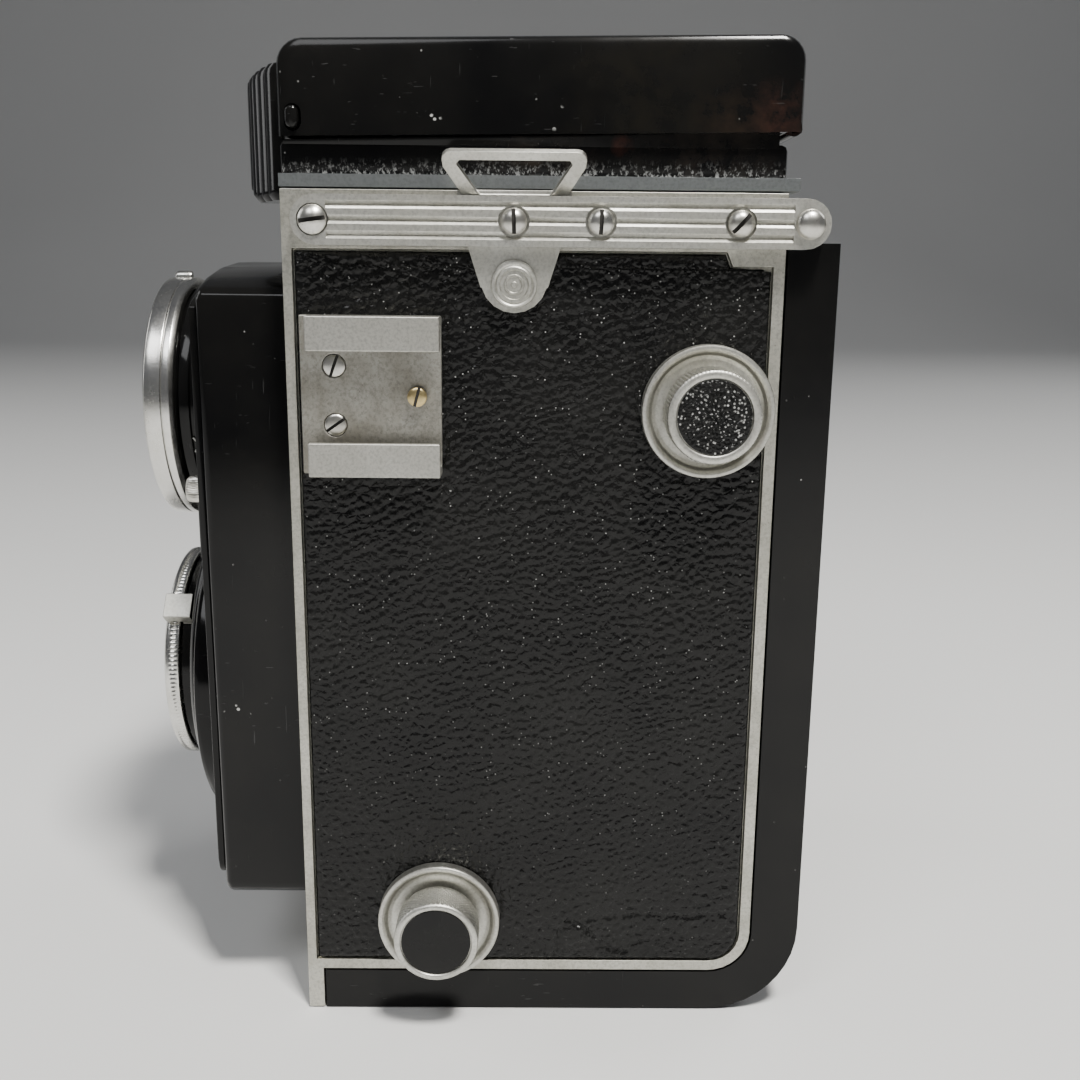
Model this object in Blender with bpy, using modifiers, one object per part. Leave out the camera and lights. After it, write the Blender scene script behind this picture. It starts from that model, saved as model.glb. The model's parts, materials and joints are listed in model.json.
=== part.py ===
"""Twin lens reflex camera: one object for each separate piece of the camera.

Units are metres, +Z is up.  The lenses look along -Y, and +X is the side with
the accessory shoe and the two spool knobs.  The origin is on the underside of
the camera, midway across its width and its body depth.  The sizes below are
written in millimetres and turned into metres by MM.
"""
import bpy
import bmesh
import math
from mathutils import Vector, Matrix

for o in list(bpy.data.objects):
    bpy.data.objects.remove(o, do_unlink=True)

MM = 0.001

# ---------------------------------------------------------------- dimensions
BODY_HX = 38.0            # half width of the body casting
FRONT_Y = -38.1           # front face of the casting
REAR_Y = 30.7             # rear edge of the casting, where the back closes
BACK_Y = 38.1             # outer face of the back
STRIP_Z = 6.7             # lower edge of the casting's side walls
TOP_Z = 124.0             # top of the casting
WALL = 2.4                # casting side wall
GAP = 0.3                 # clearance between fitted pieces
PANEL_Y0, PANEL_Y1 = -36.75, 29.1      # leather recess
PANEL_Z0, PANEL_Z1 = 8.3, 116.2
PANEL_FLOOR = 37.0        # depth of the recess, as a distance from the middle
PANEL_OUT = 38.05         # outer face of the leather
DOOR_R = 14.0             # outer radius of the back's lower corner
CORNER_R = 6.4            # radius of the casting's lower rear corner
HINGE_Y, HINGE_Z = 33.15, 119.9        # hinge of the back
RAIL_Y0, RAIL_Y1 = -36.3, 36.0
RAIL_Z = 119.9
RAIL_H = 6.6
RAIL_X0, RAIL_X1 = 38.35, 41.0
TAKE_Z = 47.2             # axis of the taking lens
LENS_Z = 46.6             # middle of the shutter on the front standard
VIEW_Z = 91.9             # axis of the viewing lens
BOX_HX = 33.0             # half width of the lens box
BOX_Y0, BOX_Y1 = -51.9, -30.5
BOX_Z0, BOX_Z1 = 16.2, 110.0
BOX_ARCH = 114.4
UP_Y, UP_Z = 20.7, 94.55  # axis of the upper spool
LO_Y, LO_Z = -17.5, 15.9  # axis of the lower spool
SPOOL_R = 12.3
SPOOL_HX = 31.3
LID_Y0, LID_Y1 = -38.45, 32.55
LID_Z0, LID_Z1 = 130.9, 143.45
LID_RISE = 1.2            # the lid sits this much higher at its rear end
LID_HX = 36.5
LID_AX_Y, LID_AX_Z = 31.3, 132.75      # hinge of the lid
HOOD_HX = 35.0
HOOD_Y0, HOOD_Y1 = -38.5, 30.9
WING_X, WING_Z = 33.2, 132.2           # hinge of a side wing
FRONT_PANEL_Y, FRONT_PANEL_Z = -35.4, 134.0

parts = bpy.data.collections.new("twin_lens_reflex_camera")
cutters = bpy.data.collections.new("cutters")
bpy.context.scene.collection.children.link(parts)
bpy.context.scene.collection.children.link(cutters)


# ---------------------------------------------------------------- materials
def material(name, color, rough, metal):
    m = bpy.data.materials.new(name)
    m.use_nodes = True
    b = m.node_tree.nodes["Principled BSDF"]
    b.inputs["Base Color"].default_value = (*color, 1.0)
    b.inputs["Roughness"].default_value = rough
    b.inputs["Metallic"].default_value = metal
    m.diffuse_color = (*color, 1.0)
    return m


ALU = ((0.55, 0.54, 0.50), 0.45, 1.0)
NICKEL = ((0.62, 0.60, 0.56), 0.30, 1.0)
CHROME = ((0.72, 0.71, 0.68), 0.15, 1.0)
ENAMEL = ((0.012, 0.012, 0.013), 0.22, 0.0)
MATT = ((0.02, 0.02, 0.02), 0.70, 0.0)
LEATHER = ((0.018, 0.018, 0.018), 0.50, 0.0)
GLASS = ((0.80, 0.85, 0.88), 0.05, 0.0)
STEEL = ((0.50, 0.50, 0.50), 0.35, 1.0)
BRASS = ((0.60, 0.45, 0.22), 0.35, 1.0)


# ---------------------------------------------------------------- helpers
def link(obj, coll=None):
    (coll or parts).objects.link(obj)
    return obj


def as_cutter(obj):
    for c in list(obj.users_collection):
        c.objects.unlink(obj)
    cutters.objects.link(obj)
    obj.hide_render = True
    obj.display_type = 'WIRE'
    return obj


def from_bmesh(name, bm, location=(0, 0, 0)):
    """Mesh object whose mesh, drawn in millimetres in the camera's frame, has
    its origin moved to location."""
    loc = Vector(location)
    bmesh.ops.translate(bm, verts=bm.verts, vec=-loc)
    bmesh.ops.scale(bm, verts=bm.verts, vec=(MM, MM, MM))
    me = bpy.data.meshes.new(name)
    bm.to_mesh(me)
    bm.free()
    obj = bpy.data.objects.new(name, me)
    obj.location = loc * MM
    return link(obj)


def box(name, x, y, z, location=(0, 0, 0)):
    """Box between the pairs x, y and z."""
    bm = bmesh.new()
    bmesh.ops.create_cube(bm, size=1.0)
    size = Vector((x[1] - x[0], y[1] - y[0], z[1] - z[0]))
    mid = Vector(((x[1] + x[0]) / 2, (y[1] + y[0]) / 2, (z[1] + z[0]) / 2))
    bmesh.ops.scale(bm, verts=bm.verts, vec=size)
    bmesh.ops.translate(bm, verts=bm.verts, vec=mid)
    return from_bmesh(name, bm, location)


AXIS_TURN = {
    'X': Matrix.Rotation(math.radians(90), 4, 'Y'),
    'Y': Matrix.Rotation(math.radians(-90), 4, 'X'),
    'Z': Matrix.Identity(4),
}


def cyl(name, axis, center, r, span, seg=24, location=(0, 0, 0), r2=None):
    """Cylinder or cone along an axis through center, from span[0] to span[1]."""
    bm = bmesh.new()
    length = span[1] - span[0]
    bmesh.ops.create_cone(bm, cap_ends=True, segments=seg, radius1=r,
                          radius2=r if r2 is None else r2, depth=length)
    bmesh.ops.rotate(bm, verts=bm.verts, cent=(0, 0, 0),
                     matrix=AXIS_TURN[axis].to_3x3())
    mid = (span[0] + span[1]) / 2
    c = {'X': (mid, center[0], center[1]), 'Y': (center[0], mid, center[1]),
         'Z': (center[0], center[1], mid)}[axis]
    bmesh.ops.translate(bm, verts=bm.verts, vec=c)
    return from_bmesh(name, bm, location)


def turned(name, axis, center, profile, steps=32, flip=False, closed=False):
    """Turned piece: (radius, height) points, listed from the top down the
    outside, spun about an axis through center.  Height runs along the axis, or
    against it when flip is set.  A closed profile is a ring."""
    me = bpy.data.meshes.new(name)
    pts = [(r * MM, 0.0, h * MM) for r, h in profile]
    n = len(pts)
    edges = [(i, i + 1) for i in range(n - 1)]
    if closed:
        edges.append((n - 1, 0))
    me.from_pydata(pts, edges, [])
    obj = link(bpy.data.objects.new(name, me))
    s = obj.modifiers.new("spin", 'SCREW')
    s.steps = steps
    s.render_steps = steps
    s.use_merge_vertices = True
    s.merge_threshold = 0.00002
    s.use_smooth_shade = True
    base = AXIS_TURN[axis]
    if flip:
        base = base @ Matrix.Rotation(math.radians(180), 4, 'X')
    c = {'X': (0, center[0], center[1]), 'Y': (center[0], 0, center[1]),
         'Z': (center[0], center[1], 0)}[axis]
    obj.matrix_world = Matrix.Translation(Vector(c) * MM) @ base
    return obj


PLANES = {
    # columns: where the outline's first axis, second axis and thickness go
    'YZ': Matrix(((0, 0, 1, 0), (1, 0, 0, 0), (0, 1, 0, 0), (0, 0, 0, 1))),
    'XZ': Matrix(((1, 0, 0, 0), (0, 0, -1, 0), (0, 1, 0, 0), (0, 0, 0, 1))),
    'XY': Matrix.Identity(4),
}


def outline(name, plane, loops, span, location=(0, 0, 0), turn=None):
    """Flat plate: closed outlines in a plane (a second loop is a hole), with
    the thickness between span[0] and span[1] along the plane's normal."""
    cu = bpy.data.curves.new(name, 'CURVE')
    cu.dimensions = '2D'
    cu.fill_mode = 'BOTH'
    cu.extrude = (span[1] - span[0]) / 2 * MM
    for pts in loops:
        sp = cu.splines.new('POLY')
        sp.points.add(len(pts) - 1)
        for p, q in zip(sp.points, pts):
            p.co = (q[0] * MM, q[1] * MM, 0, 1)
        sp.use_cyclic_u = True
    tmp = link(bpy.data.objects.new(name + "_curve", cu))
    mid = (span[0] + span[1]) / 2 * MM
    n = {'YZ': (mid, 0, 0), 'XZ': (0, mid, 0), 'XY': (0, 0, mid)}[plane]
    tmp.matrix_world = Matrix.Translation(n) @ PLANES[plane]
    obj = to_mesh(tmp, name)
    m = obj.matrix_world.copy()
    if turn is not None:
        m = turn @ m
    obj.data.transform(Matrix.Translation(-Vector(location) * MM) @ m)
    obj.matrix_world = Matrix.Translation(Vector(location) * MM)
    return obj


def to_mesh(tmp, name):
    """Closed mesh object made from a curve object, which is removed."""
    bpy.context.view_layer.update()
    dg = bpy.context.evaluated_depsgraph_get()
    me = bpy.data.meshes.new_from_object(tmp.evaluated_get(dg))
    bm = bmesh.new()
    bm.from_mesh(me)
    bmesh.ops.remove_doubles(bm, verts=bm.verts, dist=0.00002)
    bmesh.ops.dissolve_degenerate(bm, edges=bm.edges, dist=0.000005)
    bmesh.ops.dissolve_limit(bm, angle_limit=0.002, verts=bm.verts, edges=bm.edges)
    bmesh.ops.recalc_face_normals(bm, faces=bm.faces)
    bm.to_mesh(me)
    bm.free()
    me.name = name
    obj = link(bpy.data.objects.new(name, me))
    obj.matrix_world = tmp.matrix_world.copy()
    cu = tmp.data
    bpy.data.objects.remove(tmp, do_unlink=True)
    bpy.data.curves.remove(cu)
    return obj


def boolean(obj, other, op='DIFFERENCE'):
    m = obj.modifiers.new(op.lower(), 'BOOLEAN')
    m.operation = op
    m.solver = 'EXACT'
    m.object = as_cutter(other)
    return obj


def cut(obj, other):
    return boolean(obj, other, 'DIFFERENCE')


def add(obj, other):
    return boolean(obj, other, 'UNION')


def bevel(obj, width, seg=2, angle=35):
    m = obj.modifiers.new("bevel", 'BEVEL')
    m.width = width * MM
    m.segments = seg
    m.limit_method = 'ANGLE'
    m.angle_limit = math.radians(angle)
    m.use_clamp_overlap = True
    return obj


def finish(obj, look, smooth=None):
    """Give the piece its material; smooth is the sharp-edge angle in degrees."""
    obj.data.materials.clear()
    obj.data.materials.append(material(obj.name, *look))
    if smooth is not None:
        obj.data.shade_smooth()
        obj.data.set_sharp_from_angle(angle=math.radians(smooth))
    return obj


def arc(cx, cy, r, a0, a1, n):
    """Points of an arc from a0 to a1 degrees."""
    return [(cx + r * math.cos(math.radians(a0 + (a1 - a0) * i / n)),
             cy + r * math.sin(math.radians(a0 + (a1 - a0) * i / n)))
            for i in range(n + 1)]


def stadium(y0, y1, zc, h, n=10):
    r = h / 2
    return arc(y1 - r, zc, r, -90, 90, n) + arc(y0 + r, zc, r, 90, 270, n)


def lens_box_outline(grow=0.0, n=10):
    """Front standard: straight sides, rounded foot and an arched top."""
    hx, z0, z1 = BOX_HX + grow, BOX_Z0 - grow, BOX_Z1 + grow
    r = 2.5 + grow
    pts = arc(-hx + r, z0 + r, r, 180, 270, 3) + arc(hx - r, z0 + r, r, 270, 360, 3)
    rise = BOX_ARCH - BOX_Z1
    # the arch is flat in the middle and falls quickly at both ends
    for i in range(n + 1):
        t = 1 - 2 * i / n
        x = hx * math.sin(t * math.pi / 2)
        pts.append((x, z1 + rise * (1 - abs(x / hx) ** 2.6) ** 0.75))
    return pts


# ---------------------------------------------------------------- body casting
profile = ([(FRONT_Y, 0), (FRONT_Y + 2.4, 0), (FRONT_Y + 2.4, STRIP_Z)]
           + arc(REAR_Y - CORNER_R, STRIP_Z + CORNER_R, CORNER_R, -90, 0, 8)
           + [(REAR_Y, TOP_Z), (FRONT_Y, TOP_Z)])
body = outline("body_casting", 'YZ', [profile], (-BODY_HX, BODY_HX))
cut(body, box("cut_inside", (-BODY_HX + WALL, BODY_HX - WALL), (-35.9, 60), (-5, 121.6)))
cut(body, box("cut_screen_well", (-27, 27), (-30, 24), (118, 130)))
cut(body, box("cut_screen_step", (-29.3, 29.3), (-32.3, 26.3), (122.4, 130)))
cut(body, outline("cut_front", 'XZ', [lens_box_outline(0.4)], (-45, -35)))
for sx in (1, -1):
    # recess for the leather, with a rounded lower rear corner and a raised
    # land at its upper rear corner
    recess = ([(PANEL_Y0, PANEL_Z0)]
              + arc(PANEL_Y1 - 4.8, PANEL_Z0 + 4.8, 4.8, -90, 0, 6)
              + [(PANEL_Y1, PANEL_Z1 - 1.9), (PANEL_Y1 - 5.6, PANEL_Z1 - 1.9), (PANEL_Y1 - 6.4, PANEL_Z1),
                 (PANEL_Y0, PANEL_Z1)])
    cut(body, outline("cut_panel", 'YZ', [recess], (PANEL_FLOOR, 45) if sx > 0 else (-45, -PANEL_FLOOR)))
cut(body, cyl("cut_up_shaft", 'X', (UP_Y, UP_Z), 3.2, (-45, 45)))
cut(body, cyl("cut_lo_shaft", 'X', (LO_Y, LO_Z), 3.2, (30, 45)))
cut(body, cyl("cut_focus_shaft", 'X', (-12.0, 60.0), 3.2, (-45, -30)))
cut(body, box("cut_latch_notch", (-6.6, 6.6), (-40, -35), (-1, 4.4)))
# bar and hinge barrel across the top of the back opening
add(body, box("rear_bar", (-36.2, 36.2), (27.0, 30.5), (115.0, 122.5)))
add(body, cyl("hinge_barrel", 'X', (HINGE_Y, HINGE_Z), 2.0, (-34.3, 34.3), 16))
add(body, box("hinge_web", (-34.3, 34.3), (30.0, 33.0), (119.6, 121.6)))
add(body, cyl("stub_lower_spool", 'X', (LO_Y, LO_Z), 2.4, (-36.5, -29.3), 16))
finish(body, ALU, 30)

# leather coverings
for side, sx in (("left", 1), ("right", -1)):
    span = (PANEL_FLOOR + GAP, PANEL_OUT) if sx > 0 else (-PANEL_OUT, -PANEL_FLOOR - GAP)
    panel = outline("leather_panel_" + side, 'YZ',
                    [[(PANEL_Y0 + GAP, PANEL_Z0 + GAP)]
                     + arc(PANEL_Y1 - GAP - 4.5, PANEL_Z0 + GAP + 4.5, 4.5, -90, 0, 6)
                     + [(PANEL_Y1 - GAP, PANEL_Z1 - GAP - 2.0), (PANEL_Y1 - GAP - 5.5, PANEL_Z1 - GAP - 2.0),
                        (PANEL_Y1 - GAP - 6.3, PANEL_Z1 - GAP), (PANEL_Y0 + GAP, PANEL_Z1 - GAP)]],
                    span)
    holes = [(UP_Y, UP_Z)]
    holes.append((LO_Y, LO_Z) if sx > 0 else (-12.0, 60.0))
    for k, (hy, hz) in enumerate(holes):
        cut(panel, cyl("cut_leather_hole", 'X', (hy, hz), 3.6, (-45, 45), 20))
    finish(panel, LEATHER)

# ---------------------------------------------------------------- inside
def square_cone(name, half0, half1, span):
    """Square funnel along Y about the taking axis, half0 wide at span[0]."""
    ob = cyl(name, 'Y', (0, TAKE_Z), half0 * math.sqrt(2), span, 4, r2=half1 * math.sqrt(2))
    ob.data.transform(Matrix.Translation(Vector((0, 0, TAKE_Z)) * MM)
                      @ Matrix.Rotation(math.radians(45), 4, 'Y')
                      @ Matrix.Translation(Vector((0, 0, -TAKE_Z)) * MM))
    return ob


light_box = square_cone("light_box", 14.8, 29.6, (-28.0, 26.8))
add(light_box, box("gate_flange", (-34.8, 34.8), (25.0, 27.2), (15.2, 78.2)))
cut(light_box, square_cone("cut_light_cone", 13.3, 28.0, (-28.5, 27.7)))
finish(light_box, MATT)

for nm, ry, rz in (("film_roller_upper", 25.6, 80.4), ("film_roller_lower", 25.6, 12.6)):
    roller = cyl(nm, 'X', (ry, rz), 1.9, (-31.0, 31.0), 16, location=(0, ry, rz))
    add(roller, cyl("journal", 'X', (ry, rz), 0.65, (-36.3, 36.3), 12))
    finish(roller, NICKEL, 40)
    # blind bores in the casting's side walls carry the journals
    cut(body, cyl("cut_roller_bore", 'X', (ry, rz), 1.0, (-36.6, 36.6), 12))

mirror = box("mirror", (-27.5, 27.5), (-37.5, 37.5), (-1.5, 0.0))
mirror.data.transform(Matrix.Translation(Vector((0, -3.0, VIEW_Z)) * MM)
                      @ Matrix.Rotation(math.radians(45), 4, 'X'))
finish(mirror, CHROME)

screen = box("focusing_screen", (-29.0, 29.0), (-32.0, 26.0), (122.7, 124.0))
finish(screen, GLASS)

for nm, cy, cz in (("take_up_spool", UP_Y, UP_Z), ("supply_spool", LO_Y, LO_Z)):
    prof = [(0, SPOOL_HX), (SPOOL_R, SPOOL_HX), (SPOOL_R, SPOOL_HX - 0.8), (5.5, SPOOL_HX - 0.8),
            (5.5, -SPOOL_HX + 0.8), (SPOOL_R, -SPOOL_HX + 0.8), (SPOOL_R, -SPOOL_HX), (0, -SPOOL_HX)]
    spool = turned(nm, 'X', (cy, cz), prof, 18)
    cut(spool, cyl("cut_spool_end", 'X', (cy, cz), 3.0, (-45, -SPOOL_HX + 5), 10))
    cut(spool, cyl("cut_spool_end", 'X', (cy, cz), 3.0, (SPOOL_HX - 5, 45), 10))
    finish(spool, MATT, 40)

# ---------------------------------------------------------------- side rails and lugs
def hole_list():
    return [(-33.3, RAIL_Z), (-6.45, RAIL_Z), (5.2, RAIL_Z), (23.9, RAIL_Z)]


for side, sx in (("left", 1), ("right", -1)):
    def xs(a, b, s=sx):
        return (a, b) if s > 0 else (-b, -a)
    rail = outline("side_rail_" + side, 'YZ',
                   [stadium(RAIL_Y0, RAIL_Y1, RAIL_Z, RAIL_H, 10)], xs(RAIL_X0, RAIL_X1))
    for gz in (121.9, 119.9, 118.0):
        groove = box("cut_groove", (-0.55, 0.55), (-31.5, 31.0), (-0.55, 0.55))
        groove.data.transform(Matrix.Translation(Vector((sx * (RAIL_X1 + 0.25), 0, gz)) * MM)
                              @ Matrix.Rotation(math.radians(45), 4, 'Y'))
        cut(rail, groove)
    cut(rail, box("cut_lug_pocket", xs(30, 39.5), (-14.6, 1.8), (110, 130)))
    if sx > 0:
        for hy, hz in hole_list():
            cut(rail, cyl("cut_screw_seat", 'X', (hy, hz), 2.15, xs(RAIL_X1 - 1.0, 50), 16))
    cut(rail, cyl("cut_pin_hole", 'X', (HINGE_Y, HINGE_Z), 1.5, xs(30, 50), 16))
    finish(rail, ALU, 30)

    # strap lug: tab, bridge under the rail and leaning loop
    tab = [(-12.7, 116.6), (-11.0, 111.2)] + arc(-6.4, 112.4, 4.6, 195, 345, 8) + [(-1.8, 111.2), (-0.1, 116.6),
          (1.3, 119.0), (1.3, 124.0), (-14.1, 124.0), (-14.1, 119.0)]
    lug = outline("strap_lug_" + side, 'YZ', [tab], xs(38.35, 39.2))
    lean = math.radians(38) * sx
    piv = Vector((sx * 38.35, 0, 123.5)) * MM
    turn = Matrix.Translation(piv) @ Matrix.Rotation(lean, 4, 'Y') @ Matrix.Translation(-piv)
    outer = [(-13.2, 123.5), (0.5, 123.5), (3.0, 128.2)] + arc(1.9, 129.3, 1.2, 0, 90, 3) \
        + arc(-14.7, 129.3, 1.2, 90, 180, 3) + [(-15.8, 128.2)]
    inner = [(-11.0, 124.0), (-11.6, 124.5), (-14.0, 128.6), (-13.6, 129.2), (0.9, 129.2), (1.2, 128.6),
             (-1.1, 124.5), (-1.7, 124.0)]
    loop = outline("loop_" + side, 'YZ', [outer, inner], xs(38.35, 39.2), turn=turn)
    add(lug, loop)
    add(lug, cyl("lug_rivet", 'X', (-6.4, 111.9), 3.0, xs(39.0, 39.9), 24))
    finish(lug, ALU, 30)

    # screws in the rail, and the domed end of the hinge pin
    angles = (8, 92, 88, 47)
    for k, (hy, hz) in enumerate(hole_list()):
        if sx < 0:
            # on the far side the screws are one piece with their rail
            add(rail, cyl("screw_head", 'X', (hy, hz), 1.83, (-41.75, -40.1), 11, r2=1.83))
            continue
        prof = [(0, 1.75), (1.1, 1.5), (1.8, 0.7), (1.8, 0.0), (0, 0.0)]
        scr = turned("rail_screw_left_%d" % (k + 1), 'X', (hy, hz), prof, 14)
        scr.matrix_world = Matrix.Translation(Vector((RAIL_X1 - 0.7, 0, 0)) * MM) @ scr.matrix_world
        slot = box("cut_slot", (-4, 4), (-3, 3), (-0.3, 0.3))
        slot.data.transform(Matrix.Translation(Vector((RAIL_X1 + 0.25 + 4, hy, hz)) * MM)
                            @ Matrix.Rotation(math.radians(angles[k]), 4, 'X'))
        cut(scr, slot)
        finish(scr, NICKEL, 35)
    prof = [(0, 42.1), (1.2, 41.9), (2.0, 41.25), (1.3, 41.25), (1.3, 34.4), (0, 34.4)]
    pin = turned("back_hinge_pin_" + side, 'X', (HINGE_Y, HINGE_Z), prof, 14, flip=sx < 0)
    finish(pin, NICKEL, 35)

# ---------------------------------------------------------------- accessory shoe
SHOE_Z = 96.35            # middle of the accessory shoe
shoe = box("accessory_shoe", (38.35, 42.6), (-35.9, -16.4), (SHOE_Z - 11.0, SHOE_Z + 11.0))
cut(shoe, box("cut_shoe_channel", (39.35, 41.5), (-40, -10), (SHOE_Z - 9.8, SHOE_Z + 9.8)))
cut(shoe, box("cut_shoe_gap", (41.0, 50), (-40, -10), (SHOE_Z - 6.25, SHOE_Z + 6.25)))
cut(shoe, box("cut_shoe_front", (39.35, 50), (-40, -34.6), (80, 112)))
for sz in (SHOE_Z + 4.1, SHOE_Z - 4.1):
    cut(shoe, cyl("cut_shoe_screw", 'X', (-31.2, sz), 1.6, (30, 50), 16))
cut(shoe, cyl("cut_stop_screw", 'X', (-19.7, SHOE_Z), 1.1, (30, 50), 16))
finish(shoe, ALU, 30)
for nm, sz, ang in (("shoe_screw_upper", SHOE_Z + 4.1, 70), ("shoe_screw_lower", SHOE_Z - 4.1, 35)):
    scr = cyl(nm, 'X', (-31.2, sz), 1.3, (38.4, 39.5), 16)
    slot = box("cut_slot", (-1, 1), (-3, 3), (-0.2, 0.2))
    slot.data.transform(Matrix.Translation(Vector((40.1, -31.2, sz)) * MM)
                        @ Matrix.Rotation(math.radians(ang), 4, 'X'))
    cut(scr, slot)
    finish(scr, NICKEL, 35)
stop = turned("shoe_stop_screw", 'X', (-19.7, SHOE_Z),
              [(0, 40.9), (1.35, 40.8), (1.35, 39.65), (0.8, 39.65), (0.8, 38.4), (0, 38.4)], 12)
slot = box("cut_slot", (-1, 1), (-3, 3), (-0.22, 0.22))
slot.data.transform(Matrix.Translation(Vector((41.5, -19.7, SHOE_Z)) * MM)
                    @ Matrix.Rotation(math.radians(75), 4, 'X'))
cut(stop, slot)
finish(stop, NICKEL, 35)

# ---------------------------------------------------------------- knobs
for nm, cy, cz, r, top, disc in (("upper", UP_Y, UP_Z, 6.45, 46.2, 5.2), ("lower", LO_Y, LO_Z, 6.3, 45.8, 5.35)):
    flange = turned("%s_knob_flange" % nm, 'X', (cy, cz),
                    [(3.3, 39.3), (7.9, 39.3), (8.5, 40.2), (9.2, 40.2), (9.3, 40.0), (9.3, 38.4), (3.3, 38.4)],
                    28, closed=True)
    finish(flange, ALU, 35)
    knob = turned("%s_spool_knob" % nm, 'X', (cy, cz),
                  [(0, top - 0.45), (disc, top - 0.45), (disc + 0.05, top), (r - 0.35, top), (r, top - 0.4),
                   (r, 40.2), (r - 0.4, 39.7), (2.4, 39.7), (2.4, 27.0), (0, 27.0)], 24)
    finish(knob, ALU, 35)
    inlay = cyl("%s_knob_inlay" % nm, 'X', (cy, cz), disc - 0.3, (top - 0.15, top + 0.35), 24)
    finish(inlay, LEATHER if nm == "upper" else ENAMEL, 35)

wind = turned("film_wind_knob", 'X', (UP_Y, UP_Z),
              [(0, 51.0), (9.2, 51.0), (10.0, 50.3), (10.0, 40.6), (9.4, 39.9), (2.4, 39.9), (2.4, 27.5), (0, 27.5)],
              24, flip=True)
finish(wind, ALU, 35)
focus = turned("focusing_knob", 'X', (-12.0, 60.0),
               [(0, 50.0), (12.6, 50.0), (13.5, 49.2), (13.5, 41.5), (12.8, 40.6), (2.4, 40.6), (2.4, 34.2), (0, 34.2)],
               28, flip=True)
finish(focus, ALU, 35)
scale = turned("focusing_scale_ring", 'X', (-12.0, 60.0),
               [(3.3, 40.1), (15.2, 40.1), (15.6, 39.7), (15.6, 38.4), (3.3, 38.4)], 28, flip=True, closed=True)
finish(scale, ALU, 35)

# ---------------------------------------------------------------- back
def l_profile(off, y_front, z_top):
    """L-shaped section of the back, set in by off from its outer face."""
    r = DOOR_R - off
    return ([(y_front, off)] + arc(BACK_Y - DOOR_R, DOOR_R, r, -90, 0, 10) + [(BACK_Y - off, z_top)])


door_top = 117.5
inner_line = ([(REAR_Y + GAP, door_top)]
              + list(reversed(arc(REAR_Y - CORNER_R, STRIP_Z + CORNER_R, CORNER_R + GAP, -90, 0, 8)))
              + [(-35.4, STRIP_Z - GAP)])
back = outline("back_door", 'YZ', [l_profile(0.0, -35.4, door_top) + inner_line], (-BODY_HX, BODY_HX))
hollow_inner = ([(20.0, door_top - 1.6), (20.0, 22.0), (-33.6, 22.0)])
cut(back, outline("cut_back_inside", 'YZ', [l_profile(1.8, -33.6, door_top - 1.6) + hollow_inner],
                  (-BODY_HX + WALL, BODY_HX - WALL)))
cut(back, cyl("cut_tripod", 'Z', (0, -14.0), 6.2, (-3, 3), 28))
for sx in (1, -1):
    ear = outline("back_ear", 'YZ', [arc(HINGE_Y, HINGE_Z, 2.05, -30, 210, 12) + [(31.4, 116.4), (36.0, 116.4)]],
                  (34.7, 37.6) if sx > 0 else (-37.6, -34.7))
    add(back, ear)
    cut(back, cyl("cut_ear", 'X', (HINGE_Y, HINGE_Z), 1.6, (30, 45) if sx > 0 else (-45, -30), 16))
cut(back, box("cut_latch_bed", (-10.3, 10.3), (-40, -30.6), (-1, 0.9)))
cut(back, box("cut_latch_slot", (-6.3, 6.3), (-36, -33.0), (0.5, 4.2)))
cut(back, box("cut_back_leather", (-34.0, 34.0), (37.3, 45), (16.0, 112.6)))
finish(back, ENAMEL, 35)
back_skin = box("leather_panel_back", (-33.7, 33.7), (37.6, 38.1), (16.3, 112.3))
finish(back_skin, LEATHER)

bush = turned("tripod_bush", 'Z', (0, -14.0),
              [(4.8, 3.2), (7.6, 3.2), (7.6, 2.1), (5.9, 2.1), (5.9, 0.1), (4.8, 0.1)], 22, closed=True)
finish(bush, BRASS, 35)
latch = box("back_latch", (-7.0, 7.0), (-35.2, -31.0), (0.1, 0.6))
add(latch, box("latch_tongue", (-4.0, 4.0), (-37.6, -34.2), (0.3, 3.2)))
bevel(latch, 0.2, 1)
finish(latch, NICKEL, 35)

plate = box("pressure_plate", (-29.5, 29.5), (27.9, 28.9), (19.0, 76.0))
add(plate, box("plate_spring", (-5.0, 5.0), (28.5, 30.9), (30.0, 34.0)))
add(plate, box("plate_spring", (-5.0, 5.0), (28.5, 30.9), (61.0, 65.0)))
add(plate, box("plate_spring", (-5.0, 5.0), (30.5, 31.3), (30.0, 65.0)))
finish(plate, STEEL)
guide = box("pressure_plate_bracket", (-8.0, 8.0), (34.4, 36.0), (40.0, 55.0))
add(guide, box("bracket_post", (-2.0, 2.0), (32.5, 35.0), (46.0, 49.0)))
finish(guide, STEEL)

# ---------------------------------------------------------------- hood
hood = box("hood_base", (-HOOD_HX, HOOD_HX), (HOOD_Y0, HOOD_Y1), (125.7, 130.55))
bevel(hood, 0.8, 2)
add(hood, box("hood_ledge", (-37.5, 37.5), (-38.3, 32.3), (124.3, 126.0)))
cut(hood, box("cut_hood", (-28.5, 28.5), (-31.5, 25.5), (120, 140)))
for sx in (1, -1):
    # raised side rim that follows the lid's lower edge
    rim = outline("hood_rim", 'YZ', [[(-38.0, 130.0), (29.6, 130.0), (29.6, 132.1), (-38.0, 130.6)]],
                  (34.35, 35.0) if sx > 0 else (-35.0, -34.35))
    add(hood, rim)
for sx in (1, -1):
    # the post that carries the lid's pin
    post = outline("lid_post", 'YZ', [[(26.6, 129.5), (29.2, 129.5)]
                   + arc(LID_AX_Y, LID_AX_Z, 1.25, -60, 130, 8) + [(28.6, 132.7), (26.6, 131.4)]],
                   (18.3, 21.7) if sx > 0 else (-21.7, -18.3))
    add(hood, post)
cut(hood, cyl("cut_lid_pin", 'X', (LID_AX_Y, LID_AX_Z), 0.8, (-40, 40), 12))
finish(hood, ENAMEL, 35)

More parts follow.
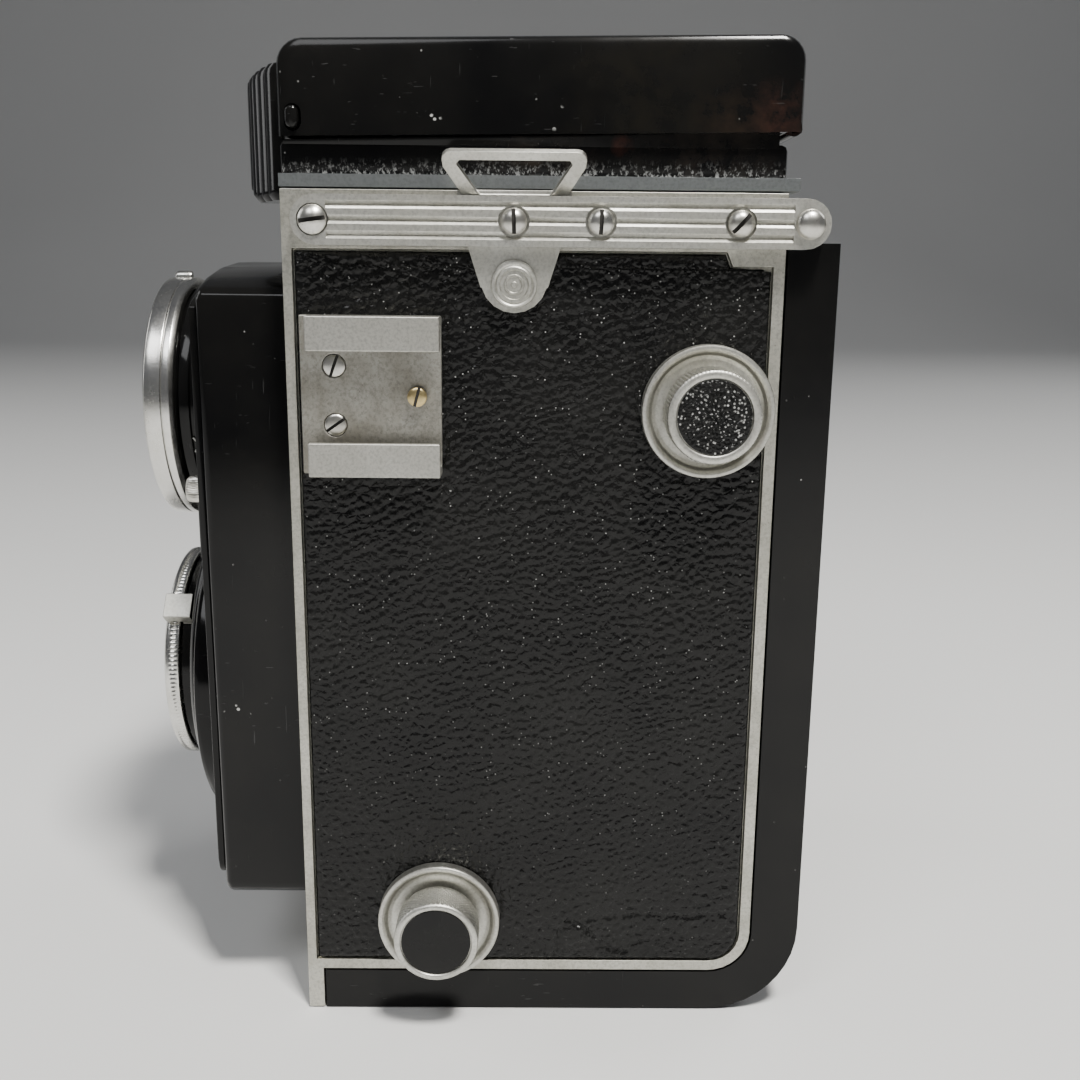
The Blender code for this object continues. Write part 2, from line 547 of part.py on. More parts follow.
flutes = []
N_FLUTE = 17
for i in range(N_FLUTE * 5 + 1):
    t = i / (N_FLUTE * 5)
    x = -30.0 + 60.0 * t
    bulge = -40.2 - 8.6 * (1 - (x / 30.0) ** 2)
    groove_depth = 0.75 * abs(math.sin(math.pi * N_FLUTE * t)) ** 0.7
    flutes.append((x, bulge - groove_depth + 0.4))
back_line = [(30.0 - 60.0 * i / 24, -39.1 - 6.6 * max(0.0, 1 - ((30.0 - 60.0 * i / 24) / 27.0) ** 2))
             for i in range(25)]
name_plate = outline("front_name_plate", 'XY', [flutes + back_line], (122.9, 141.2))
cut(name_plate, cyl("cut_arch", 'Y', (0, 72.3), 54.2, (-60, -38.2), 64))
finish(name_plate, ENAMEL, 30)

LID_R = 3.4               # rounding of the lid's front and rear top edges


def lid_z(y):
    """Height of the lid's lower edge, which rises to the rear."""
    return LID_Z0 + LID_RISE * (y - LID_Y0) / (LID_Y1 - LID_Y0)


def lid_loop(inset):
    """Top of the lid's side outline, from its rear to its front."""
    rr = LID_R - inset
    y0, y1 = LID_Y0 + inset, LID_Y1 - inset
    pts = arc(y1 - rr, LID_Z1 - inset - rr, rr, 0, 90, 6) + arc(y0 + rr, LID_Z1 - inset - rr, rr, 90, 180, 6)
    return [(y, z + lid_z(y) - LID_Z0) for y, z in pts]


lid_shape = lid_loop(0.0) + [(LID_Y0, LID_Z0 - 4), (LID_Y1, lid_z(LID_Y1) - 4)]
lid = outline("hood_lid", 'YZ', [lid_shape], (-LID_HX, LID_HX))
bevel(lid, 1.3, 2, 50)
cut(lid, outline("cut_below", 'YZ', [[(-60, 100), (60, 100), (60, lid_z(60)), (-60, lid_z(-60))]], (-60, 60)))
# the hinge barrel runs along the lower edge of the rear wall
barrel_shape = arc(LID_AX_Y, LID_AX_Z, 1.2, 200, 345, 9) + [(32.3, 133.4), (30.6, 133.4)]
add(lid, outline("lid_barrel", 'YZ', [barrel_shape], (-35.8, 35.8)))
lid_in = (lid_loop(1.35) + [(LID_Y0 + 1.35, 120.0), (30.02, 120.0), (30.02, 132.6)]
          + arc(LID_AX_Y, LID_AX_Z, 1.28, 180, 96, 5))
cut(lid, outline("cut_lid", 'YZ', [lid_in], (-LID_HX + 1.3, LID_HX - 1.3)))
for sx in (1, -1):
    cut(lid, box("cut_knuckle", (18.0, 22.0) if sx > 0 else (-22.0, -18.0), (29.0, 34.0), (130.0, 135.4)))
cut(lid, cyl("cut_lid_pin2", 'X', (LID_AX_Y, LID_AX_Z), 0.8, (-36.0, 36.0), 12))
ARM_Y, ARM_Z = -3.7, 141.0
for sx in (1, -1):
    ear = box("arm_ear", (5.2, 6.4) if sx > 0 else (-6.4, -5.2), (ARM_Y - 1.6, ARM_Y + 1.6), (139.2, 143.2))
    add(lid, ear)
    cut(lid, cyl("cut_arm_ear", 'X', (ARM_Y, ARM_Z), 0.75, (4, 8) if sx > 0 else (-8, -4), 12))
CATCH_Y, CATCH_Z = -36.3, 133.3
slot_pts = [(y, z) for z, y in stadium(CATCH_Z - 1.75, CATCH_Z + 1.75, CATCH_Y, 2.3, 8)]
cut(lid, outline("cut_catch", 'YZ', [slot_pts], (32.0, 45.0)))
finish(lid, ENAMEL, 35)
lid_pin = cyl("lid_hinge_pin", 'X', (LID_AX_Y, LID_AX_Z), 0.5, (-34.5, 34.5), 12)
finish(lid_pin, STEEL, 35)
knob_pts = [(y, z) for z, y in stadium(CATCH_Z - 1.45, CATCH_Z + 1.45, CATCH_Y, 1.7, 8)]
catch = outline("lid_catch_button", 'YZ', [knob_pts], (33.2, 37.7))
bevel(catch, 0.35, 2, 50)
finish(catch, ENAMEL, 35)

# folding wings, front panel and magnifier
WING_T = 0.5
for side, sx in (("left", 1), ("right", -1)):
    pts = [(WING_X - 1.0, -31.8), (WING_X - 1.0, 24.3), (WING_X - 29.5, 24.3), (WING_X - 29.5, 22.0),
           (WING_X - 5.0, -30.4), (WING_X - 4.0, -31.8)]
    if sx < 0:
        pts = [(-a, b) for a, b in pts]
    wing = outline("hood_wing_" + side, 'XY', [pts], (WING_Z - WING_T / 2, WING_Z + WING_T / 2),
                   location=(sx * WING_X, 0, WING_Z))
    k = cyl("wing_knuckle", 'Y', (sx * WING_X, WING_Z), 0.85, (-31.8, 24.3), 12)
    k2 = box("wing_web", (WING_X - 1.2, WING_X) if sx > 0 else (-WING_X, -WING_X + 1.2), (-31.8, 24.3),
             (WING_Z - WING_T / 2, WING_Z + WING_T / 2))
    add(wing, k2)
    add(wing, k)
    finish(wing, ENAMEL, 35)
fp = box("hood_front_panel", (-29.5, 29.5), (-35.4, -6.5), (FRONT_PANEL_Z - 0.25, FRONT_PANEL_Z + 0.25),
         location=(0, FRONT_PANEL_Y, FRONT_PANEL_Z))
add(fp, cyl("panel_knuckle", 'X', (FRONT_PANEL_Y, FRONT_PANEL_Z), 0.85, (-29.5, 29.5), 12))
finish(fp, ENAMEL, 35)

arm = outline("magnifier_arm", 'XY',
              [[(-4.6, ARM_Y + 0.6), (-4.6, -11.0)] + arc(0, -20.0, 10.5, 152, 388, 24) + [(4.6, -11.0), (4.6, ARM_Y + 0.6)]],
              (ARM_Z - 1.9, ARM_Z - 0.9), location=(0, ARM_Y, ARM_Z))
cut(arm, cyl("cut_arm_lens", 'Z', (0, -20.0), 9.0, (130, 145), 32))
add(arm, cyl("arm_pin", 'X', (ARM_Y, ARM_Z), 0.55, (-6.0, 6.0), 12))
add(arm, box("arm_web", (-4.6, 4.6), (ARM_Y - 0.5, ARM_Y + 0.5), (ARM_Z - 1.9, ARM_Z)))
finish(arm, NICKEL, 35)
mag = turned("magnifier_lens", 'Z', (0, -20.0),
             [(0, 141.0), (4.5, 140.7), (8.7, 139.9), (8.7, 139.3), (4.5, 138.6), (0, 138.4)], 28)
finish(mag, GLASS, 35)

# ---------------------------------------------------------------- front standard
std = outline("lens_box", 'XZ', [lens_box_outline()], (BOX_Y0, BOX_Y1))
bevel(std, 1.2, 2, 40)
inside = [(x * 0.948, TAKE_Z + 18 + (z - TAKE_Z - 18) * 0.965) for x, z in lens_box_outline()]
cut(std, outline("cut_box", 'XZ', [inside], (BOX_Y0 + 1.8, -20.0)))
cut(std, cyl("cut_view", 'Y', (0, VIEW_Z), 17.3, (-70, -40), 40))
cut(std, cyl("cut_take", 'Y', (0, LENS_Z), 16.3, (-70, -40), 40))
finish(std, ENAMEL, 30)

face_pts = [(x * 0.93, TAKE_Z + 18 + (z - TAKE_Z - 18) * 0.955) for x, z in lens_box_outline()]
face = outline("face_plate", 'XZ', [face_pts], (-53.3, -52.2))
add(face, box("waist", (-15.5, 15.5), (-57.8, -52.6), (62.0, 84.0)))
cut(face, cyl("cut_view2", 'Y', (0, VIEW_Z), 17.3, (-70, -40), 40))
cut(face, cyl("cut_view3", 'Y', (0, VIEW_Z), 19.3, (-70, -53.3), 40))
cut(face, cyl("cut_take3", 'Y', (0, 45.4), 26.5, (-70, -53.3), 48))
cut(face, cyl("cut_take2", 'Y', (0, LENS_Z), 16.3, (-70, -40), 40))
cut(face, cyl("cut_sync", 'Y', (25.5, 80.4), 1.7, (-70, -40), 16))
finish(face, ENAMEL, 30)

barrel = turned("viewing_lens_barrel", 'Y', (0, VIEW_Z),
                [(14.6, 60.9), (18.0, 60.9), (18.0, 59.0), (18.9, 58.4), (18.9, 53.6), (16.9, 53.6),
                 (16.9, 44.0), (14.6, 44.0)], 30, flip=True, closed=True)
finish(barrel, ENAMEL, 35)
ring = turned("viewing_lens_ring", 'Y', (0, VIEW_Z),
              [(15.2, 61.4), (16.4, 62.4), (18.6, 64.4), (19.4, 64.4), (19.9, 63.9), (19.9, 60.3), (19.4, 59.5),
               (18.4, 59.5), (18.4, 61.2), (15.2, 61.2)], 30, flip=True, closed=True)
add(ring, cyl("ring_bump", 'Y', (0, VIEW_Z + 19.8), 1.0, (-63.6, -60.9), 12))
finish(ring, CHROME, 35)
glass1 = turned("viewing_lens_glass", 'Y', (0, VIEW_Z),
                [(0, 60.7), (7.0, 60.1), (11.0, 59.0), (14.3, 57.2), (14.3, 54.5), (0, 53.6)], 22, flip=True)
finish(glass1, GLASS, 35)

shutter = turned("shutter_housing", 'Y', (0, LENS_Z),
                 [(13.3, 63.0), (15.6, 63.0), (15.6, 59.2), (21.6, 59.0), (23.4, 58.2), (24.0, 57.2), (24.0, 53.6),
                  (15.9, 53.6), (15.9, 44.0), (13.3, 44.0)], 30, flip=True, closed=True)
skirt = cyl("shutter_skirt", 'Y', (0, 45.4), 26.2, (-57.3, -53.6), 44)
cut(skirt, cyl("cut_skirt", 'Y', (0, LENS_Z), 20.0, (-70, -40), 30))
cut(skirt, cyl("cut_skirt_view", 'Y', (0, VIEW_Z), 19.2, (-70, -40), 40))
add(shutter, skirt)
finish(shutter, ENAMEL, 35)
speed = turned("shutter_speed_ring", 'Y', (0, LENS_Z),
               [(13.6, 63.3), (14.6, 63.4), (17.3, 64.2), (17.9, 64.1), (18.2, 63.8), (18.2, 61.6), (15.9, 61.6),
                (15.9, 63.3)], 30, flip=True, closed=True)
finish(speed, CHROME, 35)
lever = turned("aperture_lever_ring", 'Y', (0, LENS_Z),
               [(15.9, 61.3), (18.0, 61.3), (18.0, 59.5), (15.9, 59.5)], 30, flip=True, closed=True)
tab = box("aperture_tab", (17.4, 20.6), (-64.0, -59.5), (-2.1, 2.1))
add(lever, tab)
cut(lever, turned("cut_tab", 'Y', (0, LENS_Z), [(14.0, 66.0), (18.5, 66.0), (18.5, 61.3), (14.0, 61.3)], 30,
                  flip=True, closed=True))
tab.data.transform(Matrix.Translation(Vector((0, 0, LENS_Z)) * MM) @ Matrix.Rotation(math.radians(-38), 4, 'Y'))
finish(lever, ALU, 35)
glass2 = turned("taking_lens_glass", 'Y', (0, LENS_Z),
                [(0, 61.2), (6.0, 60.7), (9.5, 59.6), (13.0, 57.8), (13.0, 55.0), (0, 54.2)], 22, flip=True)
finish(glass2, GLASS, 35)
sync = cyl("sync_socket", 'Y', (25.5, 80.4), 2.0, (-56.2, -53.6), 20)
add(sync, cyl("sync_stem", 'Y', (25.5, 80.4), 1.4, (-53.9, -52.6), 16))
cut(sync, cyl("sync_bore", 'Y', (25.5, 80.4), 1.1, (-60, -53.9), 16))
finish(sync, NICKEL, 35)
rel = outline("shutter_release_lever", 'XZ',
              [[(-26.8, 29.5), (-30.1, 23.5), (-27.8, 22.3), (-24.2, 27.8), (-23.6, 29.5)]], (-57.2, -55.7))
add(rel, cyl("lever_boss", 'Y', (-25.2, 29.6), 1.9, (-57.2, -53.6), 16))
finish(rel, NICKEL, 35)
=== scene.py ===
import bpy
import bmesh
import json
import math
import random
import numpy as np
from mathutils import Matrix, Vector, kdtree

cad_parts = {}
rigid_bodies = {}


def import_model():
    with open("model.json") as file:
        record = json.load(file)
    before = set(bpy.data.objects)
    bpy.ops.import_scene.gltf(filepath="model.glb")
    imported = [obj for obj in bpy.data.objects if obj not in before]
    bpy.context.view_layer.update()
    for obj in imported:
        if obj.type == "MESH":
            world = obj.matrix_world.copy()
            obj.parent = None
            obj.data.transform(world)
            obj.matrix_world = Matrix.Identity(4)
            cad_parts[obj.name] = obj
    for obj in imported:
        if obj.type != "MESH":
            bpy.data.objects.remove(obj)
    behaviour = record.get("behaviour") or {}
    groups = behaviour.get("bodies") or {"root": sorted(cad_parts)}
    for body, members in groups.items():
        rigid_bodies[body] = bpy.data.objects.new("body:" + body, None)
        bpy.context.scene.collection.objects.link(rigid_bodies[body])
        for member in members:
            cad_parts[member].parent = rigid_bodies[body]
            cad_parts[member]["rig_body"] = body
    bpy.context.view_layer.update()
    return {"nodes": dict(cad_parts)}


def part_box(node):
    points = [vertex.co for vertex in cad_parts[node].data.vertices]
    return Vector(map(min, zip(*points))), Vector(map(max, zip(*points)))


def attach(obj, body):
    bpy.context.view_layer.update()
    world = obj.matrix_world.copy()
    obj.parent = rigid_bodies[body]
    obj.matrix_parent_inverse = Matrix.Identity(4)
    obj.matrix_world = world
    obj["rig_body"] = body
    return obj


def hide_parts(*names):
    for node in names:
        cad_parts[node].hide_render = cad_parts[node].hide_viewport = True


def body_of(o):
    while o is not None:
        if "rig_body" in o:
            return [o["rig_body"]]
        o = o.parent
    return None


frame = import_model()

N = frame["nodes"]
MM = 0.001
scene = bpy.context.scene


# ------------------------------------------------------------------ camera
cam_data = bpy.data.cameras.new("camera")
cam = bpy.data.objects.new("camera", cam_data)
scene.collection.objects.link(cam)
right = Vector((0.00624327, 0.99993392, 0.00965305))
up = Vector((-0.22310647, -0.00801703, 0.97476111))
back = Vector((0.97477409, -0.00823935, 0.22304167))
rot = Matrix((right, up, back)).transposed().to_4x4()
cam.matrix_world = Matrix.Translation(Vector((205.19, -3.94, 113.98)) * MM) @ rot
cam_data.sensor_width = 36.0
cam_data.lens = 36.0 * 1192.3 / 1080.0
cam_data.clip_start = 0.01
cam_data.clip_end = 20.0
scene.camera = cam


# ------------------------------------------------------------------ node helpers
class Nodes:
    """Short way to write a shader's nodes."""

    def __init__(self, name):
        self.mat = bpy.data.materials.new(name)
        self.mat.use_nodes = True
        self.t = self.mat.node_tree
        self.bsdf = self.t.nodes["Principled BSDF"]
        self.coord = self.t.nodes.new("ShaderNodeTexCoord")
        self.obj = self.coord.outputs["Object"]

    def n(self, kind, **props):
        node = self.t.nodes.new(kind)
        for k, v in props.items():
            setattr(node, k, v)
        return node

    def link(self, a, b):
        self.t.links.new(a, b)

    def mapped(self, scale=(1, 1, 1), loc=(0, 0, 0), rot=(0, 0, 0)):
        m = self.n("ShaderNodeMapping")
        m.inputs["Scale"].default_value = scale
        m.inputs["Location"].default_value = loc
        m.inputs["Rotation"].default_value = rot
        self.link(self.obj, m.inputs["Vector"])
        return m.outputs["Vector"]

    def noise(self, scale, detail=3.0, rough=0.5, vec=None, distortion=0.0):
        x = self.n("ShaderNodeTexNoise")
        x.inputs["Scale"].default_value = scale
        x.inputs["Detail"].default_value = detail
        x.inputs["Roughness"].default_value = rough
        x.inputs["Distortion"].default_value = distortion
        self.link(vec or self.obj, x.inputs["Vector"])
        return x.outputs["Fac"]

    def voronoi(self, scale, feature="F1", vec=None, rand=1.0, out="Distance"):
        x = self.n("ShaderNodeTexVoronoi", feature=feature)
        x.inputs["Scale"].default_value = scale
        x.inputs["Randomness"].default_value = rand
        self.link(vec or self.obj, x.inputs["Vector"])
        return x.outputs[out]

    def ramp(self, fac, stops):
        x = self.n("ShaderNodeValToRGB")
        e = x.color_ramp.elements
        while len(e) < len(stops):
            e.new(0.5)
        for el, (p, c) in zip(e, stops):
            el.position = p
            el.color = (c, c, c, 1) if isinstance(c, (int, float)) else (*c, 1)
        self.link(fac, x.inputs["Fac"])
        return x.outputs["Color"]

    def mix(self, fac, a, b):
        x = self.n("ShaderNodeMix", data_type="RGBA")
        for sock, val in ((x.inputs["Factor"], fac), (x.inputs["A"], a), (x.inputs["B"], b)):
            if isinstance(val, (int, float)):
                sock.default_value = val if sock.type == "VALUE" else (val, val, val, 1)
            elif isinstance(val, tuple):
                sock.default_value = (*val, 1)
            else:
                self.link(val, sock)
        return x.outputs["Result"]

    def math(self, op, a, b=0.0, clamp=False):
        x = self.n("ShaderNodeMath", operation=op)
        x.use_clamp = clamp
        for sock, val in ((x.inputs[0], a), (x.inputs[1], b)):
            if isinstance(val, (int, float)):
                sock.default_value = val
            else:
                self.link(val, sock)
        return x.outputs[0]

    def bump(self, height, strength=0.3, dist=0.0001, normal=None):
        x = self.n("ShaderNodeBump")
        x.inputs["Strength"].default_value = strength
        x.inputs["Distance"].default_value = dist
        self.link(height, x.inputs["Height"])
        if normal is not None:
            self.link(normal, x.inputs["Normal"])
        return x.outputs["Normal"]

    def near(self, point, radius, vec=None):
        """1 close to a point of the object, falling to 0 at radius."""
        d = self.n("ShaderNodeVectorMath", operation="DISTANCE")
        self.link(vec or self.obj, d.inputs[0])
        d.inputs[1].default_value = tuple(c * MM for c in point)
        m = self.n("ShaderNodeMapRange")
        m.inputs["From Min"].default_value = 0.0
        m.inputs["From Max"].default_value = radius * MM
        m.inputs["To Min"].default_value = 1.0
        m.inputs["To Max"].default_value = 0.0
        self.link(d.outputs["Value"], m.inputs["Value"])
        return m.outputs["Result"]

    def edges(self, lo=0.52, hi=0.60):
        """1 on outer edges and corners."""
        g = self.n("ShaderNodeNewGeometry")
        return self.ramp(g.outputs["Pointiness"], [(lo, 0.0), (hi, 1.0)])

    def axis(self, i, a, b):
        """0 to 1 as the object's coordinate i goes from a to b, in millimetres."""
        s = self.n("ShaderNodeSeparateXYZ")
        self.link(self.obj, s.inputs[0])
        m = self.n("ShaderNodeMapRange")
        m.inputs["From Min"].default_value = a * MM
        m.inputs["From Max"].default_value = b * MM
        self.link(s.outputs[i], m.inputs["Value"])
        return m.outputs["Result"]

    def set(self, **vals):
        for k, v in vals.items():
            sock = self.bsdf.inputs[k.replace("_", " ")]
            if isinstance(v, (int, float)):
                sock.default_value = v
            elif isinstance(v, tuple):
                sock.default_value = (*v, 1) if len(v) == 3 else v
            else:
                self.link(v, sock)
        return self.mat


# ------------------------------------------------------------------ materials
def make_enamel(name, base=0.0034, rough=0.12, brown=(), scuff=(), chips=(), dusty=0.5, coat=0.10):
    """Black gloss paint.  brown: spots rubbed down to brown undercoat; scuff:
    (axis, from, to) bands of short bright scratches; chips: small flaked spots."""
    m = Nodes(name)
    grime = m.noise(60, 4, 0.6)
    fine = m.noise(1400, 3, 0.6)
    # long fine scratches: stretched noise, thresholded, in two directions
    s1 = m.noise(1.0, 2, 0.5, m.mapped((90, 420, 2600), rot=(0.35, 0.1, 0)))
    s2 = m.noise(1.0, 2, 0.5, m.mapped((900, 2400, 160), rot=(-0.25, 0.2, 0.1)))
    scr = m.math("MAXIMUM", m.ramp(s1, [(0.715, 0.0), (0.74, 1.0)]), m.ramp(s2, [(0.72, 0.0), (0.745, 1.0)]))
    scr = m.math("MULTIPLY", scr, m.ramp(m.noise(45, 2), [(0.48, 0.0), (0.66, 1.0)]))
    dust = m.ramp(m.voronoi(520), [(0.05, 1.0), (0.085, 0.0)])
    dust = m.math("MULTIPLY", dust, m.ramp(m.noise(190, 2), [(0.56, 0.0), (0.68, 1.0)]))
    col = m.mix(m.ramp(grime, [(0.35, 0.0), (0.75, 1.0)]), (base, base, base * 1.05), (base * 2.3, base * 2.2, base * 2.0))
    for point, radius, tint in brown:
        spot = m.math("MULTIPLY", m.near(point, radius), m.ramp(m.noise(230, 5, 0.7), [(0.40, 0.0), (0.72, 1.0)]))
        col = m.mix(m.math("MULTIPLY", spot, 1.3, True), col, tint)
    col = m.mix(m.math("MULTIPLY", scr, 0.22), col, (0.16, 0.16, 0.16))
    col = m.mix(m.math("MULTIPLY", dust, dusty), col, (0.40, 0.40, 0.38))
    hit = m.math("MAXIMUM", scr, dust)
    for ax, a, b in scuff:
        tick = m.ramp(m.noise(1.0, 3, 0.7, m.mapped((2300, 2300, 1500))), [(0.53, 0.0), (0.62, 1.0)])
        band = m.math("MULTIPLY", m.axis(ax, a, b), m.axis(0, 34.1, 34.5), True)
        tick = m.math("MULTIPLY", tick, m.math("POWER", band, 2.2), True)
        line = m.math("MULTIPLY", m.ramp(m.noise(520, 3, 0.6), [(0.46, 0.0), (0.60, 1.0)]), m.math("POWER", band, 14.0), True)
        t = m.math("MAXIMUM", tick, line)
        col = m.mix(m.math("MULTIPLY", t, 0.9), col, (0.55, 0.55, 0.54))
        hit = m.math("MAXIMUM", hit, t)
    for point, radius in chips:
        flake = m.ramp(m.voronoi(900), [(0.20, 1.0), (0.26, 0.0)])
        flake = m.math("MULTIPLY", flake, m.ramp(m.noise(700, 2), [(0.52, 0.0), (0.58, 1.0)]))
        flake = m.math("MULTIPLY", flake, m.ramp(m.near(point, radius), [(0.25, 0.0), (0.6, 1.0)]))
        col = m.mix(flake, col, (0.50, 0.50, 0.48))
        hit = m.math("MAXIMUM", hit, flake)
    r = m.math("ADD", m.math("MULTIPLY", grime, 0.16), rough - 0.06)
    r = m.math("ADD", r, m.math("MULTIPLY", hit, 0.3), True)
    h = m.math("ADD", m.math("MULTIPLY", m.noise(220, 2), 0.5), m.math("MULTIPLY", fine, 0.06))
    h = m.math("SUBTRACT", h, m.math("MULTIPLY", scr, 0.10))
    return m.set(Base_Color=col, Roughness=r, Normal=m.bump(h, 0.25, 0.00010), Coat_Weight=coat, Coat_Roughness=0.06,
                 IOR=1.5, Specular_IOR_Level=0.19)


def make_metal(name, col_a, col_b, rough=0.36, speckle=0.5, brush=None, grime=0.35, aniso=0.0):
    """Satin metal: grained like the bare casting's surface, with dulled patches."""
    m = Nodes(name)
    grain = m.noise(2300, 3, 0.65)
    patch = m.noise(110, 5, 0.65)
    pits = m.ramp(m.voronoi(1500), [(0.10, 1.0), (0.22, 0.0)])
    pits = m.math("MULTIPLY", pits, m.ramp(m.noise(420, 3), [(0.52, 0.0), (0.64, 1.0)]))
    col = m.mix(m.ramp(patch, [(0.35, 0.0), (0.68, 1.0)]), col_a, col_b)
    col = m.mix(m.math("MULTIPLY", m.ramp(grain, [(0.35, 1.0), (0.55, 0.0)]), 0.45 * speckle), col,
                tuple(c * 0.55 for c in col_b))
    col = m.mix(m.math("MULTIPLY", pits, 0.7 * grime), col, (0.12, 0.11, 0.09))
    r = m.math("ADD", m.math("MULTIPLY", patch, 0.22), rough - 0.11)
    r = m.math("ADD", r, m.math("MULTIPLY", grain, 0.10), True)
    h = m.math("ADD", m.math("MULTIPLY", grain, 0.5 * speckle), m.math("MULTIPLY", patch, 0.2))
    h = m.math("SUBTRACT", h, m.math("MULTIPLY", pits, 0.3))
    if brush is not None:
        lines = m.noise(1.0, 2, 0.5, m.mapped(brush))
        h = m.math("ADD", h, m.math("MULTIPLY", lines, 0.45))
    return m.set(Base_Color=col, Metallic=1.0, Roughness=r, Normal=m.bump(h, 0.35, 0.00006))


def make_leather(name, base=0.0036, scale=1.0, rough=0.18, dots=(0.09, 0.17), cover=(0.51, 0.63), rise=(0, 95)):
    """Black pressed leathercloth; the pebbles themselves are in the mesh. Its colour carries painted highlight specks
    standing in for glints, more of them towards the top where the light falls from above.
    """
    m = Nodes(name)
    fine = m.noise(2600 * scale, 3, 0.6)
    pores = m.voronoi(1900 * scale)
    blotch = m.noise(55, 4, 0.6)
    polish = m.noise(260, 3, 0.6)
    # painted highlight: bright specks mixed into the base colour stand in for glints on the grain, thinned out lower
    # down where less light falls
    painted_glint = m.ramp(m.voronoi(1300 * scale), [(dots[0], 1.0), (dots[1], 0.0)])
    painted_glint = m.math("MULTIPLY", painted_glint, m.ramp(m.noise(480, 2), [(cover[0], 0.0), (cover[1], 1.0)]))
    painted_glint = m.math("MULTIPLY", painted_glint, m.math("ADD", m.axis(2, *rise), 0.15), True)
    col = m.mix(m.ramp(blotch, [(0.3, 0.0), (0.7, 1.0)]), (base, base, base), (base * 2.4, base * 2.35, base * 2.2))
    col = m.mix(m.math("MULTIPLY", painted_glint, 0.55), col, (0.62, 0.62, 0.60))
    r = m.math("ADD", m.math("MULTIPLY", polish, 0.26), rough - 0.10)
    r = m.math("ADD", r, m.math("MULTIPLY", blotch, 0.10), True)
    h = m.math("ADD", m.math("MULTIPLY", fine, 0.35), m.math("MULTIPLY", pores, 0.5))
    bent = m.n("ShaderNodeVectorMath", operation="MULTIPLY_ADD")
    wob = m.n("ShaderNodeTexNoise")
    wob.inputs["Scale"].default_value = 420.0
    wob.inputs["Detail"].default_value = 2.0
    m.link(m.obj, wob.inputs["Vector"])
    m.link(wob.outputs["Color"], bent.inputs[0])
    bent.inputs[1].default_value = (0.0007, 0.0007, 0.0007)
    m.link(m.obj, bent.inputs[2])
    cells = m.ramp(m.voronoi(880 * scale, "DISTANCE_TO_EDGE", bent.outputs[0]), [(0.02, 0.0), (0.22, 1.0)])
    h = m.math("ADD", h, m.math("MULTIPLY", cells, 0.5))
    return m.set(Base_Color=col, Roughness=r, Normal=m.bump(h, 0.75, 0.00011), IOR=1.5, Specular_IOR_Level=0.26)


def make_glass(name, tint=(0.55, 0.62, 0.80), coat=0.6):
    m = Nodes(name)
    smear = m.noise(160, 4, 0.6)
    # painted reflection: the base colour goes from near black face-on to the bluish tint at grazing angles, standing in
    # for the coating's reflection
    fr = m.n("ShaderNodeLayerWeight")
    fr.inputs["Blend"].default_value = 0.35
    col = m.mix(fr.outputs["Facing"], (0.012, 0.014, 0.030), tint)
    r = m.math("ADD", m.math("MULTIPLY", smear, 0.05), 0.01, True)
    return m.set(Base_Color=col, Roughness=r, IOR=1.6, Coat_Weight=coat, Coat_Roughness=0.02,
                 Coat_Tint=(0.75, 0.80, 1.0))


def make_clear(name):
    m = Nodes(name)
    smear = m.noise(120, 4, 0.6)
    r = m.math("ADD", m.math("MULTIPLY", smear, 0.10), 0.12, True)
    col = m.mix(smear, (0.70, 0.73, 0.72), (0.80, 0.82, 0.80))
    return m.set(Base_Color=col, Roughness=r, IOR=1.5, Transmission_Weight=0.6)


# dark brownish material for screw slots: painted shade in the recess
def make_slot_shade(name):
    m = Nodes(name)
    col = m.mix(m.noise(900, 3, 0.6), (0.010, 0.009, 0.008), (0.040, 0.036, 0.030))
    return m.set(Base_Color=col, Roughness=0.7, Normal=m.bump(m.noise(1800, 3, 0.6), 0.3, 0.00004))


